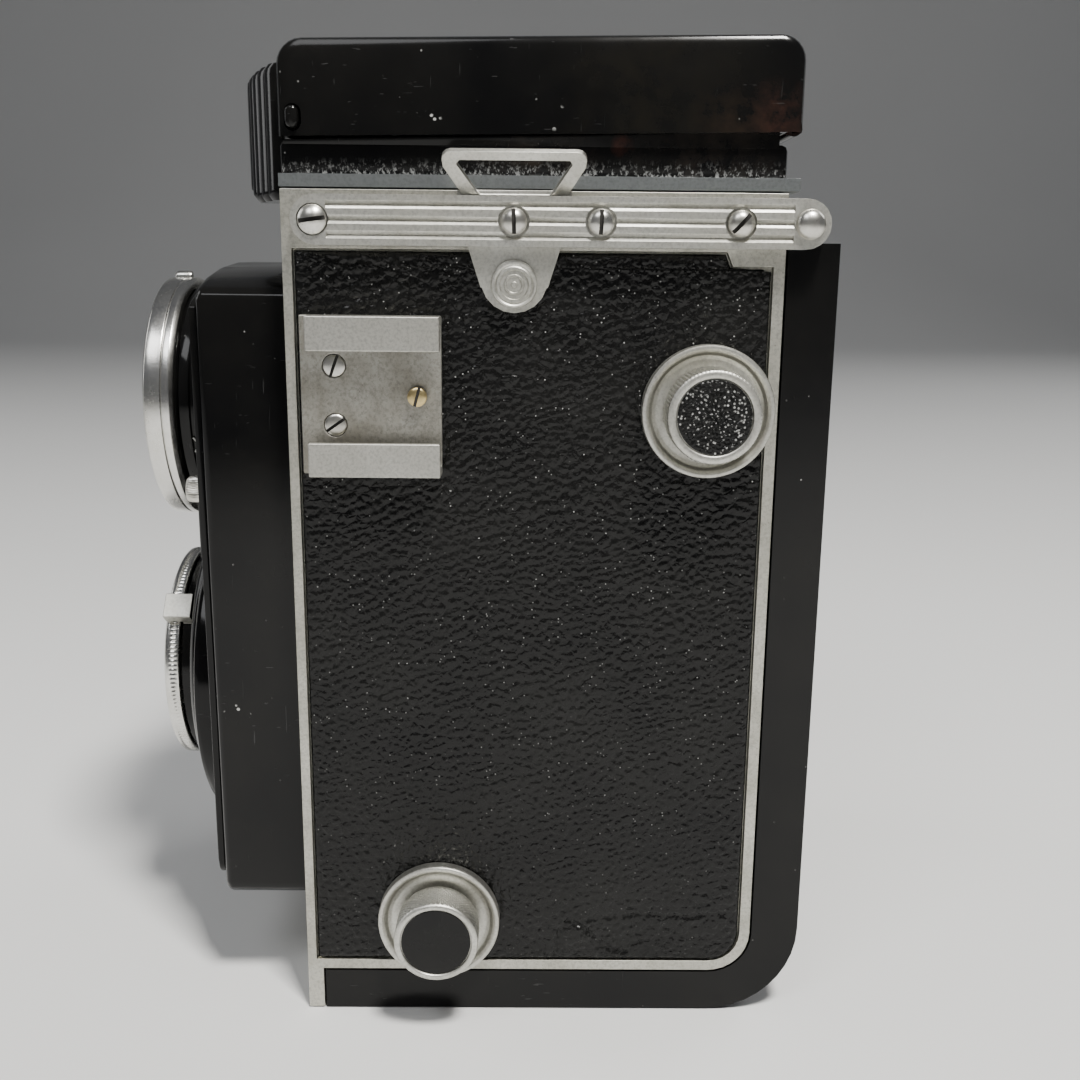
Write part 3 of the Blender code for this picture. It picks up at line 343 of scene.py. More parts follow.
MATS_DARK = make_slot_shade("slot_painted_shade")
BROWN_LID = [((36.5, 29.0, 134.0), 5.5, (0.040, 0.019, 0.014)), ((36.5, 22.5, 133.0), 6.0, (0.024, 0.016, 0.011)),
             ((36.5, 12.0, 135.0), 18.0, (0.010, 0.009, 0.007))]
BROWN_BASE = [((35.0, 8.2, 130.2), 1.8, (0.07, 0.024, 0.016)), ((35.0, -3.0, 129.0), 9.0, (0.022, 0.017, 0.013)),
              ((35.0, 20.0, 128.5), 12.0, (0.020, 0.016, 0.013))]
M = {
    "enamel_body": make_enamel("enamel_body", rough=0.18),
    "enamel_lid": make_enamel("enamel_lid", rough=0.15, brown=BROWN_LID, chips=[((36.5, -18.0, 133.6), 2.6), ((36.5, -1.0, 133.6), 2.4)]),
    "enamel_hood": make_enamel("enamel_hood", rough=0.16, brown=BROWN_BASE, scuff=[(2, 128.6, 125.9)]),
    "enamel_box": make_enamel("enamel_box", rough=0.11, chips=[((33.0, -49.5, 109.0), 2.2), ((33.0, -48.0, 48.0), 4.0)]),
    "enamel_matt": make_enamel("enamel_matt", base=0.010, rough=0.42, coat=0.0),
    "enamel_disc": make_enamel("enamel_disc", base=0.005, rough=0.12, dusty=0.2),
    "worn_metal": make_metal("worn_metal", (0.34, 0.36, 0.36), (0.24, 0.255, 0.26), 0.36, 0.6, grime=0.4),
    "alu": make_metal("satin_alu", (0.66, 0.655, 0.61), (0.52, 0.51, 0.46), 0.40, 0.8),
    "alu_strip": make_metal("satin_strip", (0.60, 0.59, 0.53), (0.44, 0.43, 0.375), 0.42, 1.0, grime=0.6),
    "alu_shoe": make_metal("satin_shoe", (0.60, 0.59, 0.545), (0.50, 0.49, 0.445), 0.40, 1.0, grime=0.4),
    # darker, browner copy of the shoe metal for its channel floor: painted shade under the lips, with heavier pitting
    "alu_shaded_floor": make_metal("shaded_floor_metal", (0.44, 0.43, 0.39), (0.27, 0.255, 0.215), 0.46, 1.0, grime=1.0),
    "nickel": make_metal("nickel", (0.70, 0.69, 0.65), (0.58, 0.56, 0.50), 0.26, 0.4, grime=0.5),
    "chrome": make_metal("chrome", (0.80, 0.79, 0.76), (0.66, 0.65, 0.60), 0.20, 0.35, brush=(60, 3000, 60), grime=0.4),
    "brass": make_metal("brass", (0.70, 0.56, 0.28), (0.52, 0.39, 0.18), 0.30, 0.5),
    "leather": make_leather("leather"),
    # the disc's colour carries dense painted highlight specks standing in for glints
    "leather_disc": make_leather("leather_disc", base=0.004, rough=0.16, scale=1.35, dots=(0.20, 0.32), cover=(0.34, 0.48), rise=(-10, 0)),
    "glass": make_glass("coated_glass"),
    "clear": make_clear("ground_glass"),
    "mirror": make_metal("mirror_silver", (0.88, 0.89, 0.90), (0.80, 0.81, 0.82), 0.12, 0.1, grime=0.1),
    "paint_white": None,
}
wm = Nodes("mark_paint")
M["paint_white"] = wm.set(Base_Color=wm.mix(wm.noise(3000, 2), (0.55, 0.55, 0.52), (0.32, 0.32, 0.30)), Roughness=0.6)


# ------------------------------------------------------------------ mesh helpers
def new_object(name, verts, faces, mat, body, stands_for=(), sharp=32, fix=True):
    me = bpy.data.meshes.new(name)
    me.from_pydata([tuple(c * MM for c in v) for v in verts], [], faces)
    if fix:
        bm = bmesh.new()
        bm.from_mesh(me)
        bmesh.ops.recalc_face_normals(bm, faces=bm.faces)
        bm.to_mesh(me)
        bm.free()
    return place(name, me, mat, body, stands_for, sharp)


def place(name, me, mat, body, stands_for=(), sharp=32):
    o = bpy.data.objects.new(name, me)
    scene.collection.objects.link(o)
    me.materials.clear()
    me.materials.append(M[mat])
    if sharp is not None:
        me.shade_smooth()
        me.set_sharp_from_angle(angle=math.radians(sharp))
    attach(o, body)
    if stands_for:
        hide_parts(*stands_for)
    return o


def turned(name, axis, centre, profile, n, mat, body, stands_for=(), sign=1, ring=False, amp=None, sharp=32):
    """Turned piece with an optional modulation amp(theta, i, r, h) -> r."""
    verts, faces = [], []
    rows = []
    for i, (r, h) in enumerate(profile):
        if r == 0:
            rows.append([len(verts)])
            verts.append(turn_point(axis, centre, 0, 0, h * sign))
            continue
        row = []
        for k in range(n):
            a = 2 * math.pi * k / n
            rr = amp(a, i, r, h) if amp else r
            row.append(len(verts))
            verts.append(turn_point(axis, centre, rr * math.cos(a), rr * math.sin(a), h * sign))
        rows.append(row)
    pairs = list(zip(rows[:-1], rows[1:])) + ([(rows[-1], rows[0])] if ring else [])
    for a, b in pairs:
        if len(a) == 1 and len(b) > 1:
            faces += [(a[0], b[k], b[(k + 1) % n]) for k in range(n)]
        elif len(b) == 1 and len(a) > 1:
            faces += [(a[k], a[(k + 1) % n], b[0]) for k in range(n)]
        elif len(a) > 1:
            faces += [(a[k], a[(k + 1) % n], b[(k + 1) % n], b[k]) for k in range(n)]
    return new_object(name, verts, faces, mat, body, stands_for, sharp)


def turn_point(axis, c, u, v, h):
    if axis == 'X':
        return (h, c[0] + u, c[1] + v)
    if axis == 'Y':
        return (c[0] + u, h, c[1] + v)
    return (c[0] + u, c[1] + v, h)


def round_profile(points, r=0.15, n=3):
    """Profile with its inner corners rounded by r."""
    out = []
    for i, p in enumerate(points):
        if i == 0 or i == len(points) - 1 or p[0] == 0:
            out.append(p)
            continue
        a, b = Vector(points[i - 1]), Vector(points[i + 1])
        q = Vector(p)
        da, db = a - q, b - q
        la, lb = da.length, db.length
        if la < 1e-6 or lb < 1e-6:
            continue
        rr = min(r, la * 0.45, lb * 0.45)
        pa, pb = q + da / la * rr, q + db / lb * rr
        for k in range(n + 1):
            t = k / n
            m = pa * (1 - t) ** 2 + q * 2 * t * (1 - t) + pb * t * t
            out.append((m.x, m.y))
    return out


def cut_with_box(o, centre, size, turn):
    """Cuts a box from an object's mesh, and keeps the result as its mesh. The faces inside the box get a dark material
    as painted shade in the slot.
    """
    bm = bmesh.new()
    bmesh.ops.create_cube(bm, size=1.0)
    bmesh.ops.scale(bm, verts=bm.verts, vec=Vector(size) * MM)
    me = bpy.data.meshes.new("tool")
    bm.to_mesh(me)
    bm.free()
    tool = bpy.data.objects.new("tool", me)
    scene.collection.objects.link(tool)
    tool.matrix_world = Matrix.Translation(Vector(centre) * MM) @ turn
    mod = o.modifiers.new("slot", 'BOOLEAN')
    mod.operation = 'DIFFERENCE'
    mod.solver = 'EXACT'
    mod.object = tool
    bpy.context.view_layer.update()
    dg = bpy.context.evaluated_depsgraph_get()
    new = bpy.data.meshes.new_from_object(o.evaluated_get(dg))
    o.modifiers.remove(mod)
    old = o.data
    o.data = new
    new.shade_smooth()
    new.set_sharp_from_angle(angle=math.radians(32))
    # painted shade: the faces inside the cut get the dark slot material
    new.materials.append(MATS_DARK)
    back = turn.inverted() @ Matrix.Translation(-Vector(centre) * MM)
    half = [0.5 * v * MM + 2e-6 for v in size]
    for poly in new.polygons:
        if all(abs(c) <= h for c, h in zip(back @ poly.center, half)):
            poly.material_index = len(new.materials) - 1
    bpy.data.objects.remove(tool, do_unlink=True)
    bpy.data.meshes.remove(old)


def paint(node, mat, bevel=0.15, seg=2, angle=30, second=None):
    """Finished copy of a CAD piece: its flat faces made whole again, its edges
    softly rounded.  second: (material, test of a face's centre in mm)."""
    src = N[node]
    body = body_of(src)[0]
    me = src.data.copy()
    me.name = node + "_finished"
    bm = bmesh.new()
    bm.from_mesh(me)
    bmesh.ops.remove_doubles(bm, verts=bm.verts, dist=0.000002)
    bmesh.ops.dissolve_limit(bm, angle_limit=math.radians(0.35), verts=bm.verts, edges=bm.edges)
    bm.to_mesh(me)
    bm.free()
    o = bpy.data.objects.new(node + "_finished", me)
    scene.collection.objects.link(o)
    o.matrix_world = src.matrix_world.copy()
    me.materials.clear()
    me.materials.append(M[mat])
    if second:
        me.materials.append(M[second[0]])
    for q in me.polygons:
        q.use_smooth = True
        q.material_index = 1 if second and second[1](o.matrix_world @ q.center / MM) else 0
    me.set_sharp_from_angle(angle=math.radians(38))
    if bevel:
        b = o.modifiers.new("soft_edges", 'BEVEL')
        b.width = bevel * MM
        b.segments = seg
        b.limit_method = 'ANGLE'
        b.angle_limit = math.radians(angle)
        b.harden_normals = True
        b.use_clamp_overlap = True
    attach(o, body)
    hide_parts(node)
    return o


# ------------------------------------------------------------------ leather
def grain_height(y, z, seed, cell=1.25, depth=0.24):
    """Height in millimetres of pressed pebble grain at the points (y, z):
    smooth domes on a jittered grid, divided by narrow valleys."""
    rng = np.random.default_rng(seed)
    size = 256
    jx, jy = rng.uniform(0.08, 0.92, (size, size)), rng.uniform(0.08, 0.92, (size, size))
    tone = rng.uniform(0.0, 1.0, (size, size))

    def value_noise(py, pz, s, k):
        g = np.random.default_rng(seed + 100 + k).uniform(-1, 1, (512, 512))
        u, v = py / s + 200.0, pz / s + 50.0
        iu, iv = np.floor(u).astype(int), np.floor(v).astype(int)
        fu, fv = u - iu, v - iv
        fu, fv = fu * fu * (3 - 2 * fu), fv * fv * (3 - 2 * fv)
        a, b = g[iu % 512, iv % 512], g[(iu + 1) % 512, iv % 512]
        c, d = g[iu % 512, (iv + 1) % 512], g[(iu + 1) % 512, (iv + 1) % 512]
        return (a * (1 - fu) + b * fu) * (1 - fv) + (c * (1 - fu) + d * fu) * fv

    # the grain flows: cells are stretched and bent by a slow warp
    wy = y + 0.45 * value_noise(y, z, 3.1, 0) + 1.6 * value_noise(y, z, 11.0, 1)
    wz = z + 0.45 * value_noise(y, z, 3.1, 2) + 1.6 * value_noise(y, z, 11.0, 3)
    u = (wy * 0.94 + wz * 0.34) / (cell * 0.92) + 60.0
    v = (-wy * 0.34 + wz * 0.94) / (cell * 1.10) + 60.0
    iu, iv = np.floor(u).astype(int), np.floor(v).astype(int)
    f1 = np.full(u.shape, 9.0)
    f2 = np.full(u.shape, 9.0)
    t1 = np.zeros(u.shape)
    for a in (-1, 0, 1):
        for b in (-1, 0, 1):
            cu, cv = (iu + a) % size, (iv + b) % size
            d = np.hypot(iu + a + jx[cu, cv] - u, iv + b + jy[cu, cv] - v)
            near = d < f1
            f2 = np.where(near, f1, np.minimum(f2, d))
            t1 = np.where(near, tone[cu, cv], t1)
            f1 = np.where(near, d, f1)
    edge = np.clip((f2 - f1) / 0.42, 0, 1)
    dome = edge * edge * (3 - 2 * edge) * (0.72 + 0.28 * t1)
    fine = 0.10 * value_noise(y, z, 0.55, 4)
    slow = 0.35 * value_noise(y, z, 9.0, 5)
    return depth * (dome + fine + slow * 0.35 - 0.2)


def crease(y, z, path, width, depth):
    """Lowering along a polyline."""
    best = np.full(y.shape, 99.0)
    for (y0, z0), (y1, z1) in zip(path[:-1], path[1:]):
        dy, dz = y1 - y0, z1 - z0
        t = np.clip(((y - y0) * dy + (z - z0) * dz) / (dy * dy + dz * dz), 0, 1)
        best = np.minimum(best, np.hypot(y - y0 - t * dy, z - z0 - t * dz))
    return -depth * np.exp(-(best / width) ** 2)


def leather_panel(name, node, side, step, seed, holes, marks=None):
    """Leather covering of a side wall, grained, with its edges turned down."""
    a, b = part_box(node)
    y0, y1, z0, z1 = a.y / MM, b.y / MM, a.z / MM, b.z / MM
    x_out = max(abs(a.x), abs(b.x)) / MM
    nz, ny = int((z1 - z0) / step), int((y1 - y0) / step)
    zz = np.linspace(z0, z1, nz + 1)
    right_edge = np.full(nz + 1, y1)
    low = zz < z0 + 4.5
    right_edge[low] = y1 - 4.5 + np.sqrt(np.maximum(0.0, 4.5 ** 2 - (z0 + 4.5 - zz[low]) ** 2))
    top = zz > z1 - 2.0
    right_edge[top] = y1 - 5.5 - 0.4 * (zz[top] - z1 + 2.0)
    t = np.linspace(0, 1, ny + 1)
    Y = y0 + t[None, :] * (right_edge[:, None] - y0)
    Z = np.repeat(zz[:, None], ny + 1, 1)
    H = grain_height(Y, Z, seed)
    if marks is not None:
        H = H + marks(Y, Z)
    rim = np.minimum.reduce([Y - y0, right_edge[:, None] - Y, Z - z0, z1 - Z])
    soft = np.clip(rim / 0.7, 0, 1)
    H = H * np.clip(rim / 0.35, 0, 1) - 0.30 * (1 - soft) ** 2
    X = x_out + 0.02 + H
    verts = [(side * float(x), float(y), float(z)) for x, y, z in zip(X.ravel(), Y.ravel(), Z.ravel())]
    w = ny + 1
    faces = []
    gone = np.zeros(Y.shape, bool)
    for hy, hz, hr in holes:
        gone |= np.hypot(Y - hy, Z - hz) < hr
    for j in range(nz):
        for i in range(ny):
            if gone[j, i] or gone[j + 1, i] or gone[j, i + 1] or gone[j + 1, i + 1]:
                continue
            q = (j * w + i, j * w + i + 1, (j + 1) * w + i + 1, (j + 1) * w + i)
            faces.append(q if side > 0 else q[::-1])
    me = bpy.data.meshes.new(name)
    me.from_pydata([tuple(c * MM for c in v) for v in verts], [], faces)
    bm = bmesh.new()
    bm.from_mesh(me)
    bmesh.ops.delete(bm, geom=[v for v in bm.verts if not v.link_faces], context='VERTS')
    bm.to_mesh(me)
    bm.free()
    o = place(name, me, "leather", "body", (node,), None)
    me.shade_smooth()
    s = o.modifiers.new("thickness", 'SOLIDIFY')
    s.thickness = 0.45 * MM
    s.offset = -1.0
    s.use_even_offset = False
    return o


def near_side_marks(y, z):
    """Creases and a lifted flap near the foot, and a few old scratches."""
    h = crease(y, z, [(5.5, 15.4), (14.0, 16.4), (21.0, 15.9), (26.5, 16.6)], 0.30, 0.22)
    h += crease(y, z, [(12.0, 11.2), (18.0, 12.6), (25.0, 12.2)], 0.25, 0.13)
    h += crease(y, z, [(0.4, 9.2), (1.0, 13.6), (2.6, 15.4), (5.0, 14.0), (7.4, 11.6), (8.6, 10.4), (11.5, 9.8)], 0.28, 0.34)
    flap = np.clip(1 - np.hypot((y - 3.9) / 3.0, (z - 12.2) / 2.6), 0, 1)
    h += 0.26 * flap * flap * (3 - 2 * flap)
    h += crease(y, z, [(-31.5, 116.0), (-31.2, 112.2), (-29.6, 108.9)], 0.20, 0.20)
    h += crease(y, z, [(-26.0, 44.0), (-8.0, 41.5)], 0.16, 0.05)
    h += crease(y, z, [(4.0, 98.0), (9.0, 90.0), (10.0, 82.0)], 0.16, 0.06)
    h += crease(y, z, [(-12.0, 70.0), (-6.0, 58.0)], 0.14, 0.05)
    return h


leather_panel("leather_left", "leather_panel_left", 1, 0.28, 11,
              [(20.7, 94.55, 4.0), (-17.5, 15.9, 4.0)], near_side_marks)
leather_panel("leather_right", "leather_panel_right", -1, 0.42, 23,
              [(20.7, 94.55, 4.0), (-12.0, 60.0, 4.0)])


def back_leather():
    a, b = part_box("leather_panel_back")
    x0, x1, z0, z1, y = a.x / MM, b.x / MM, a.z / MM, b.z / MM, b.y / MM
    step = 0.45
    nx, nz = int((x1 - x0) / step), int((z1 - z0) / step)
    X, Z = np.meshgrid(np.linspace(x0, x1, nx + 1), np.linspace(z0, z1, nz + 1))
    H = grain_height(X, Z, 37)
    rim = np.minimum.reduce([X - x0, x1 - X, Z - z0, z1 - Z])
    H = H * np.clip(rim / 0.35, 0, 1) - 0.22 * (1 - np.clip(rim / 0.7, 0, 1)) ** 2
    verts = [(float(p), y - 0.05 + float(h), float(q)) for p, q, h in zip(X.ravel(), Z.ravel(), H.ravel())]
    w = nx + 1
    faces = [(j * w + i + 1, j * w + i, (j + 1) * w + i, (j + 1) * w + i + 1) for j in range(nz) for i in range(nx)]
    me = bpy.data.meshes.new("leather_back")
    me.from_pydata([tuple(c * MM for c in v) for v in verts], [], faces)
    o = place("leather_back", me, "leather", "back", ("leather_panel_back",), None)
    me.shade_smooth()
    s = o.modifiers.new("thickness", 'SOLIDIFY')
    s.thickness = 0.35 * MM
    s.offset = -1.0


back_leather()

# ------------------------------------------------------------------ screws, pins, knobs
RAIL = 41.0
for k, (sy, ang) in enumerate(((-33.3, 8), (-6.45, 92), (5.2, 88), (23.9, 47))):
    big = 1.95 if k == 0 else 1.78
    prof = [(0, RAIL + 1.05), (0.45, RAIL + 1.03), (0.9, RAIL + 0.92), (1.3, RAIL + 0.70), (big - 0.15, RAIL + 0.38),
            (big, RAIL + 0.15), (big, RAIL - 0.65), (0, RAIL - 0.65)]
    s = turned("rail_screw_%d" % (k + 1), 'X', (sy, 119.9), prof, 40, "nickel", "body",
               ("rail_screw_left_%d" % (k + 1),))
    cut_with_box(s, (RAIL + 0.98, sy, 119.9), (1.2, 6.0, 0.55), Matrix.Rotation(math.radians(ang), 4, 'X'))
for side, sg in (("left", 1), ("right", -1)):
    prof = [(0, 42.4), (0.5, 42.38), (1.0, 42.25), (1.5, 42.0), (1.85, 41.65), (2.0, 41.25), (1.9, 41.12), (1.3, 41.1),
            (1.3, 34.4), (0, 34.4)]
    turned("hinge_pin_%s" % side, 'X', (33.15, 119.9), prof, 40, "nickel", "body", ("back_hinge_pin_" + side,), sg)

for nm, cy, cz in (("upper", 20.7, 94.55), ("lower", -17.5, 15.9)):
    prof = round_profile([(3.3, 39.0), (7.3, 39.0), (7.9, 39.2), (8.25, 39.9), (8.7, 40.2), (9.2, 40.15), (9.3, 39.9),
                          (9.3, 38.4), (3.3, 38.4)], 0.12, 2)
    turned(nm + "_flange", 'X', (cy, cz), prof, 96, "alu", "body", (nm + "_knob_flange",), ring=True)


def straight_knurl(n, depth, h0, h1):
    def f(a, i, r, h):
        if h0 <= h <= h1 and r > 5.8:
            c = abs(math.sin(a * n / 2))
            return r - depth * (1 - c) ** 1.2
        return r
    return f


def cross_knurl(n, depth, h0, h1, pitch, rmin):
    def f(a, i, r, h):
        if h0 < h < h1 and r > rmin:
            p = abs(math.sin(n * a / 2 + h * pitch))
            q = abs(math.sin(n * a / 2 - h * pitch))
            return r - depth * (1 - min(p, q))
        return r
    return f


# upper knob: low rim with a fine straight knurl round a grained disc
prof = [(0, 45.75), (5.15, 45.75), (5.22, 46.1), (5.35, 46.2), (6.05, 46.2), (6.3, 46.05), (6.42, 45.8), (6.45, 45.5)]
prof += [(6.45, h) for h in (45.0, 44.0, 43.0, 42.0, 41.0)] + [(6.42, 40.4), (6.1, 39.8), (2.4, 39.75), (2.4, 27.0), (0, 27.0)]
turned("upper_knob_body", 'X', (20.7, 94.55), prof, 432, "alu", "upper_knob", ("upper_spool_knob",),
       amp=straight_knurl(72, 0.22, 40.3, 45.85), sharp=60)
prof = [(0, 45.35), (5.28, 45.35), (5.34, 45.7), (5.5, 45.8), (5.95, 45.8), (6.2, 45.6), (6.3, 45.3)]
prof += [(6.3, 45.15 - 0.16 * k) for k in range(30)] + [(6.05, 39.95), (2.4, 39.75), (2.4, 27.0), (0, 27.0)]
turned("lower_knob_body", 'X', (-17.5, 15.9), prof, 360, "alu", "lower_knob", ("lower_spool_knob",),
       amp=cross_knurl(60, 0.26, 40.2, 45.25, 4.6, 6.0), sharp=60)


def disc(name, cy, cz, r, h0, mat, body, node, height, rings=34, n=150):
    """Slightly domed disc with its own relief."""
    pts = [[(cy, cz)]]
    verts = [(h0 + 0.12 + float(height(np.array([cy]), np.array([cz]))[0]), cy, cz)]
    rows = [[0]]
    for i in range(1, rings + 1):
        rr = r * i / rings
        a = np.arange(n) * 2 * math.pi / n
        y, z = cy + rr * np.cos(a), cz + rr * np.sin(a)
        h = height(y, z) * min(1.0, (r - rr) / 0.3)
        dome = 0.12 * (1 - (rr / r) ** 2)
        rows.append(list(range(len(verts), len(verts) + n)))
        verts += [(float(h0 + dome + q), float(p), float(s)) for p, s, q in zip(y, z, h)]
    rows.append(list(range(len(verts), len(verts) + n)))
    a = np.arange(n) * 2 * math.pi / n
    verts += [(h0 - 0.3, float(cy + r * math.cos(t)), float(cz + r * math.sin(t))) for t in a]
    rows.append([len(verts)])
    verts.append((h0 - 0.3, cy, cz))
    faces = [(0, rows[1][k], rows[1][(k + 1) % n]) for k in range(n)]
    for a_, b_ in zip(rows[1:-2], rows[2:-1]):
        faces += [(a_[k], b_[k], b_[(k + 1) % n], a_[(k + 1) % n]) for k in range(n)]
    faces += [(rows[-2][(k + 1) % n], rows[-2][k], rows[-1][0]) for k in range(n)]
    o = new_object(name, verts, faces, mat, body, (node,), 60)
    return o


disc("upper_disc", 20.7, 94.55, 5.05, 46.1, "leather_disc", "upper_knob", "upper_knob_inlay",
     lambda y, z: grain_height(y, z, 5, 0.62, 0.22))
disc("lower_disc", -17.5, 15.9, 5.15, 45.6, "enamel_disc", "lower_knob", "lower_knob_inlay",
     lambda y, z: 0.0 * y)

# far-side knobs
prof = [(0, 50.75), (7.4, 50.75), (7.8, 51.0), (9.1, 51.0), (9.7, 50.7), (9.95, 50.3)]
prof += [(10.0, 50.1 - 0.3 * k) for k in range(31)] + [(9.6, 40.4), (9.2, 39.95), (2.4, 39.9), (2.4, 27.5), (0, 27.5)]
turned("wind_knob", 'X', (20.7, 94.55), prof, 320, "alu", "wind_knob", ("film_wind_knob",), -1,
       amp=straight_knurl(64, 0.35, 41.2, 50.15), sharp=60)
prof = [(0, 49.7), (10.6, 49.7), (11.0, 50.0), (12.4, 50.0), (13.1, 49.6), (13.45, 49.2)]
prof += [(13.5, 49.0 - 0.3 * k) for k in range(25)] + [(13.1, 41.1), (12.7, 40.65), (2.4, 40.6), (2.4, 34.2), (0, 34.2)]
turned("focus_knob", 'X', (-12.0, 60.0), prof, 420, "alu", "focus_knob", ("focusing_knob",), -1,
       amp=straight_knurl(84, 0.35, 41.8, 49.05), sharp=60)
prof = round_profile([(3.3, 40.1), (14.3, 40.1), (15.4, 39.75), (15.6, 39.4), (15.6, 38.4), (3.3, 38.4)], 0.1, 2)
turned("focus_scale", 'X', (-12.0, 60.0), prof, 96, "alu", "body", ("focusing_scale_ring",), -1, ring=True)

# ringed rivets of the strap lugs
for side, sg in (("left", 1), ("right", -1)):
    prof = [(0, 40.05), (0.35, 40.02), (0.5, 39.85), (0.95, 39.85), (1.1, 40.05), (1.3, 40.05), (1.45, 39.85),
            (1.85, 39.85), (2.0, 40.12), (2.35, 40.12), (2.55, 39.95), (2.8, 40.1), (3.05, 40.05), (3.15, 39.8),
            (3.15, 39.3), (0, 39.3)]
    turned("lug_rings_" + side, 'X', (-6.4, 111.6), prof, 64, "alu", "body", (), sg)

# ------------------------------------------------------------------ lenses and shutter
TZ, VZ = 46.6, 91.9
prof = round_profile([(15.2, 61.4), (15.9, 61.9), (16.4, 62.4), (17.3, 63.6), (18.3, 64.35), (19.3, 64.4), (19.85, 64.0),
                      (19.9, 63.4), (19.9, 61.6), (19.7, 61.45), (19.9, 61.3), (19.9, 60.3), (19.5, 59.6), (18.5, 59.5),
                      (18.5, 61.0), (15.2, 61.1)], 0.10, 2)
turned("view_ring", 'Y', (0, VZ), prof, 144, "chrome", "front_standard", ("viewing_lens_ring",), -1, ring=True)
# small stud on top of the ring
turned("view_ring_stud", 'Y', (0, VZ + 19.95), [(0, 63.7), (0.55, 63.65), (0.95, 63.3), (1.0, 62.9), (1.0, 61.2), (0.9, 60.9), (0, 60.8)],
       28, "chrome", "front_standard", (), -1)
prof = round_profile([(14.6, 60.9), (15.0, 60.95), (18.0, 60.9), (18.05, 59.3), (18.9, 58.9), (18.95, 57.4), (18.6, 57.2),
                      (18.6, 56.2), (18.95, 56.0), (18.9, 53.65), (16.9, 53.6), (16.9, 44.0), (14.6, 44.0)], 0.12, 2)
turned("view_barrel", 'Y', (0, VZ), prof, 128, "enamel_box", "front_standard", ("viewing_lens_barrel",), -1, ring=True)
prof = [(0, 60.9), (2.5, 60.8), (5.0, 60.5), (7.5, 60.0), (10.0, 59.3), (12.0, 58.5), (13.4, 57.8), (14.3, 57.2),
        (14.3, 54.5), (10.0, 54.0), (5.0, 53.7), (0, 53.6)]
turned("view_glass", 'Y', (0, VZ), prof, 96, "glass", "front_standard", ("viewing_lens_glass",), -1)

prof = round_profile([(13.3, 62.8), (14.2, 62.95), (15.6, 62.9), (15.6, 59.4), (18.6, 59.3), (21.2, 59.0), (22.9, 58.5),
                      (23.7, 57.9), (24.0, 57.2), (24.0, 53.65), (15.9, 53.6), (15.9, 44.0), (13.3, 44.0)], 0.14, 2)
turned("shutter_body", 'Y', (0, TZ), prof, 160, "enamel_box", "front_standard", ("shutter_housing",), -1, ring=True)


prof = round_profile([(22.6, 57.1), (25.4, 57.3), (26.0, 57.0), (26.2, 56.4), (26.2, 53.65), (22.6, 53.6)], 0.14, 2)
turned("shutter_skirt", 'Y', (0, 45.4), prof, 160, "enamel_box", "front_standard", (), -1, ring=True)


def rim_knurl(a, i, r, h):
    if 62.0 <= h <= 63.3 and r > 18.0:
        return r - 0.16 * (1 - abs(math.sin(a * 75))) ** 1.3
    return r


prof = round_profile([(13.6, 63.3), (14.1, 63.5), (14.6, 63.4), (15.6, 63.75), (17.0, 64.15), (17.8, 64.15), (18.15, 63.9),
                      (18.2, 63.5), (18.2, 63.25), (18.2, 62.7), (18.2, 62.05), (18.2, 61.8), (18.0, 61.62),
                      (15.95, 61.6), (15.95, 63.2)], 0.06, 1)
turned("speed_ring", 'Y', (0, TZ), prof, 450, "chrome", "speed_ring", ("shutter_speed_ring",), -1, ring=True,
       amp=rim_knurl, sharp=50)
prof = [(0, 61.35), (2.0, 61.3), (4.0, 61.1), (6.0, 60.8), (8.0, 60.3), (10.0, 59.6), (12.0, 58.6), (13.0, 57.9),
        (13.0, 55.0), (8.0, 54.4), (0, 54.2)]
turned("take_glass", 'Y', (0, TZ), prof, 96, "glass", "front_standard", ("taking_lens_glass",), -1)


def sync_knurl(a, i, r, h):
    return r - 0.16 * (1 - abs(math.sin(a * 13))) if 53.9 < h < 55.9 and r > 1.9 else r


prof = [(0, 55.6), (0.55, 55.55), (0.6, 55.0), (1.15, 54.95), (1.15, 56.15), (1.3, 56.22), (1.7, 56.2), (1.95, 55.95),
        (2.0, 55.65), (2.0, 55.0), (2.0, 54.2), (2.0, 53.85), (1.85, 53.65), (1.4, 53.6), (1.4, 52.75), (0, 52.7)]
turned("flash_socket", 'Y', (25.5, 80.4), prof, 104, "nickel", "front_standard", ("sync_socket",), -1, amp=sync_knurl,
       sharp=45)

# painted marks on the flanks: a small cross and a small arrow head
def mark(name, polys, skin):
    verts, faces = [], []
    for poly in polys:
        k = len(verts)
        verts += [(skin(z) - 0.08, y, z) for y, z in poly] + [(skin(z) + 0.03, y, z) for y, z in poly]
        n = len(poly)
        faces.append(tuple(range(k, k + n)))
        faces.append(tuple(range(k + 2 * n - 1, k + n - 1, -1)))
        faces += [(k + i, k + (i + 1) % n, k + n + (i + 1) % n, k + n + i) for i in range(n)]
    return new_object(name, verts, faces, "paint_white", "front_standard", (), None)


def stroke(a, b, w):
    (x0, z0), (x1, z1) = a, b
    L = math.hypot(x1 - x0, z1 - z0)
    nx, nz = -(z1 - z0) / L * w / 2, (x1 - x0) / L * w / 2
    return [(x0 + nx, z0 + nz), (x1 + nx, z1 + nz), (x1 - nx, z1 - nz), (x0 - nx, z0 - nz)]


def barrel_skin(z):
    return math.sqrt(18.95 ** 2 - (z - VZ) ** 2)


mark("cross_mark", [stroke((-57.1, 84.9), (-55.6, 87.3), 0.24)], barrel_skin)
mark("cross_mark_2", [stroke((-55.6, 84.9), (-57.1, 87.3), 0.24)], lambda z: barrel_skin(z) + 0.01)
mark("arrow_mark", [stroke((-56.5, 67.7), (-55.8, 69.3), 0.24)], lambda z: 15.5)
mark("arrow_mark_2", [stroke((-55.85, 69.4), (-55.1, 67.9), 0.24)], lambda z: 15.51)


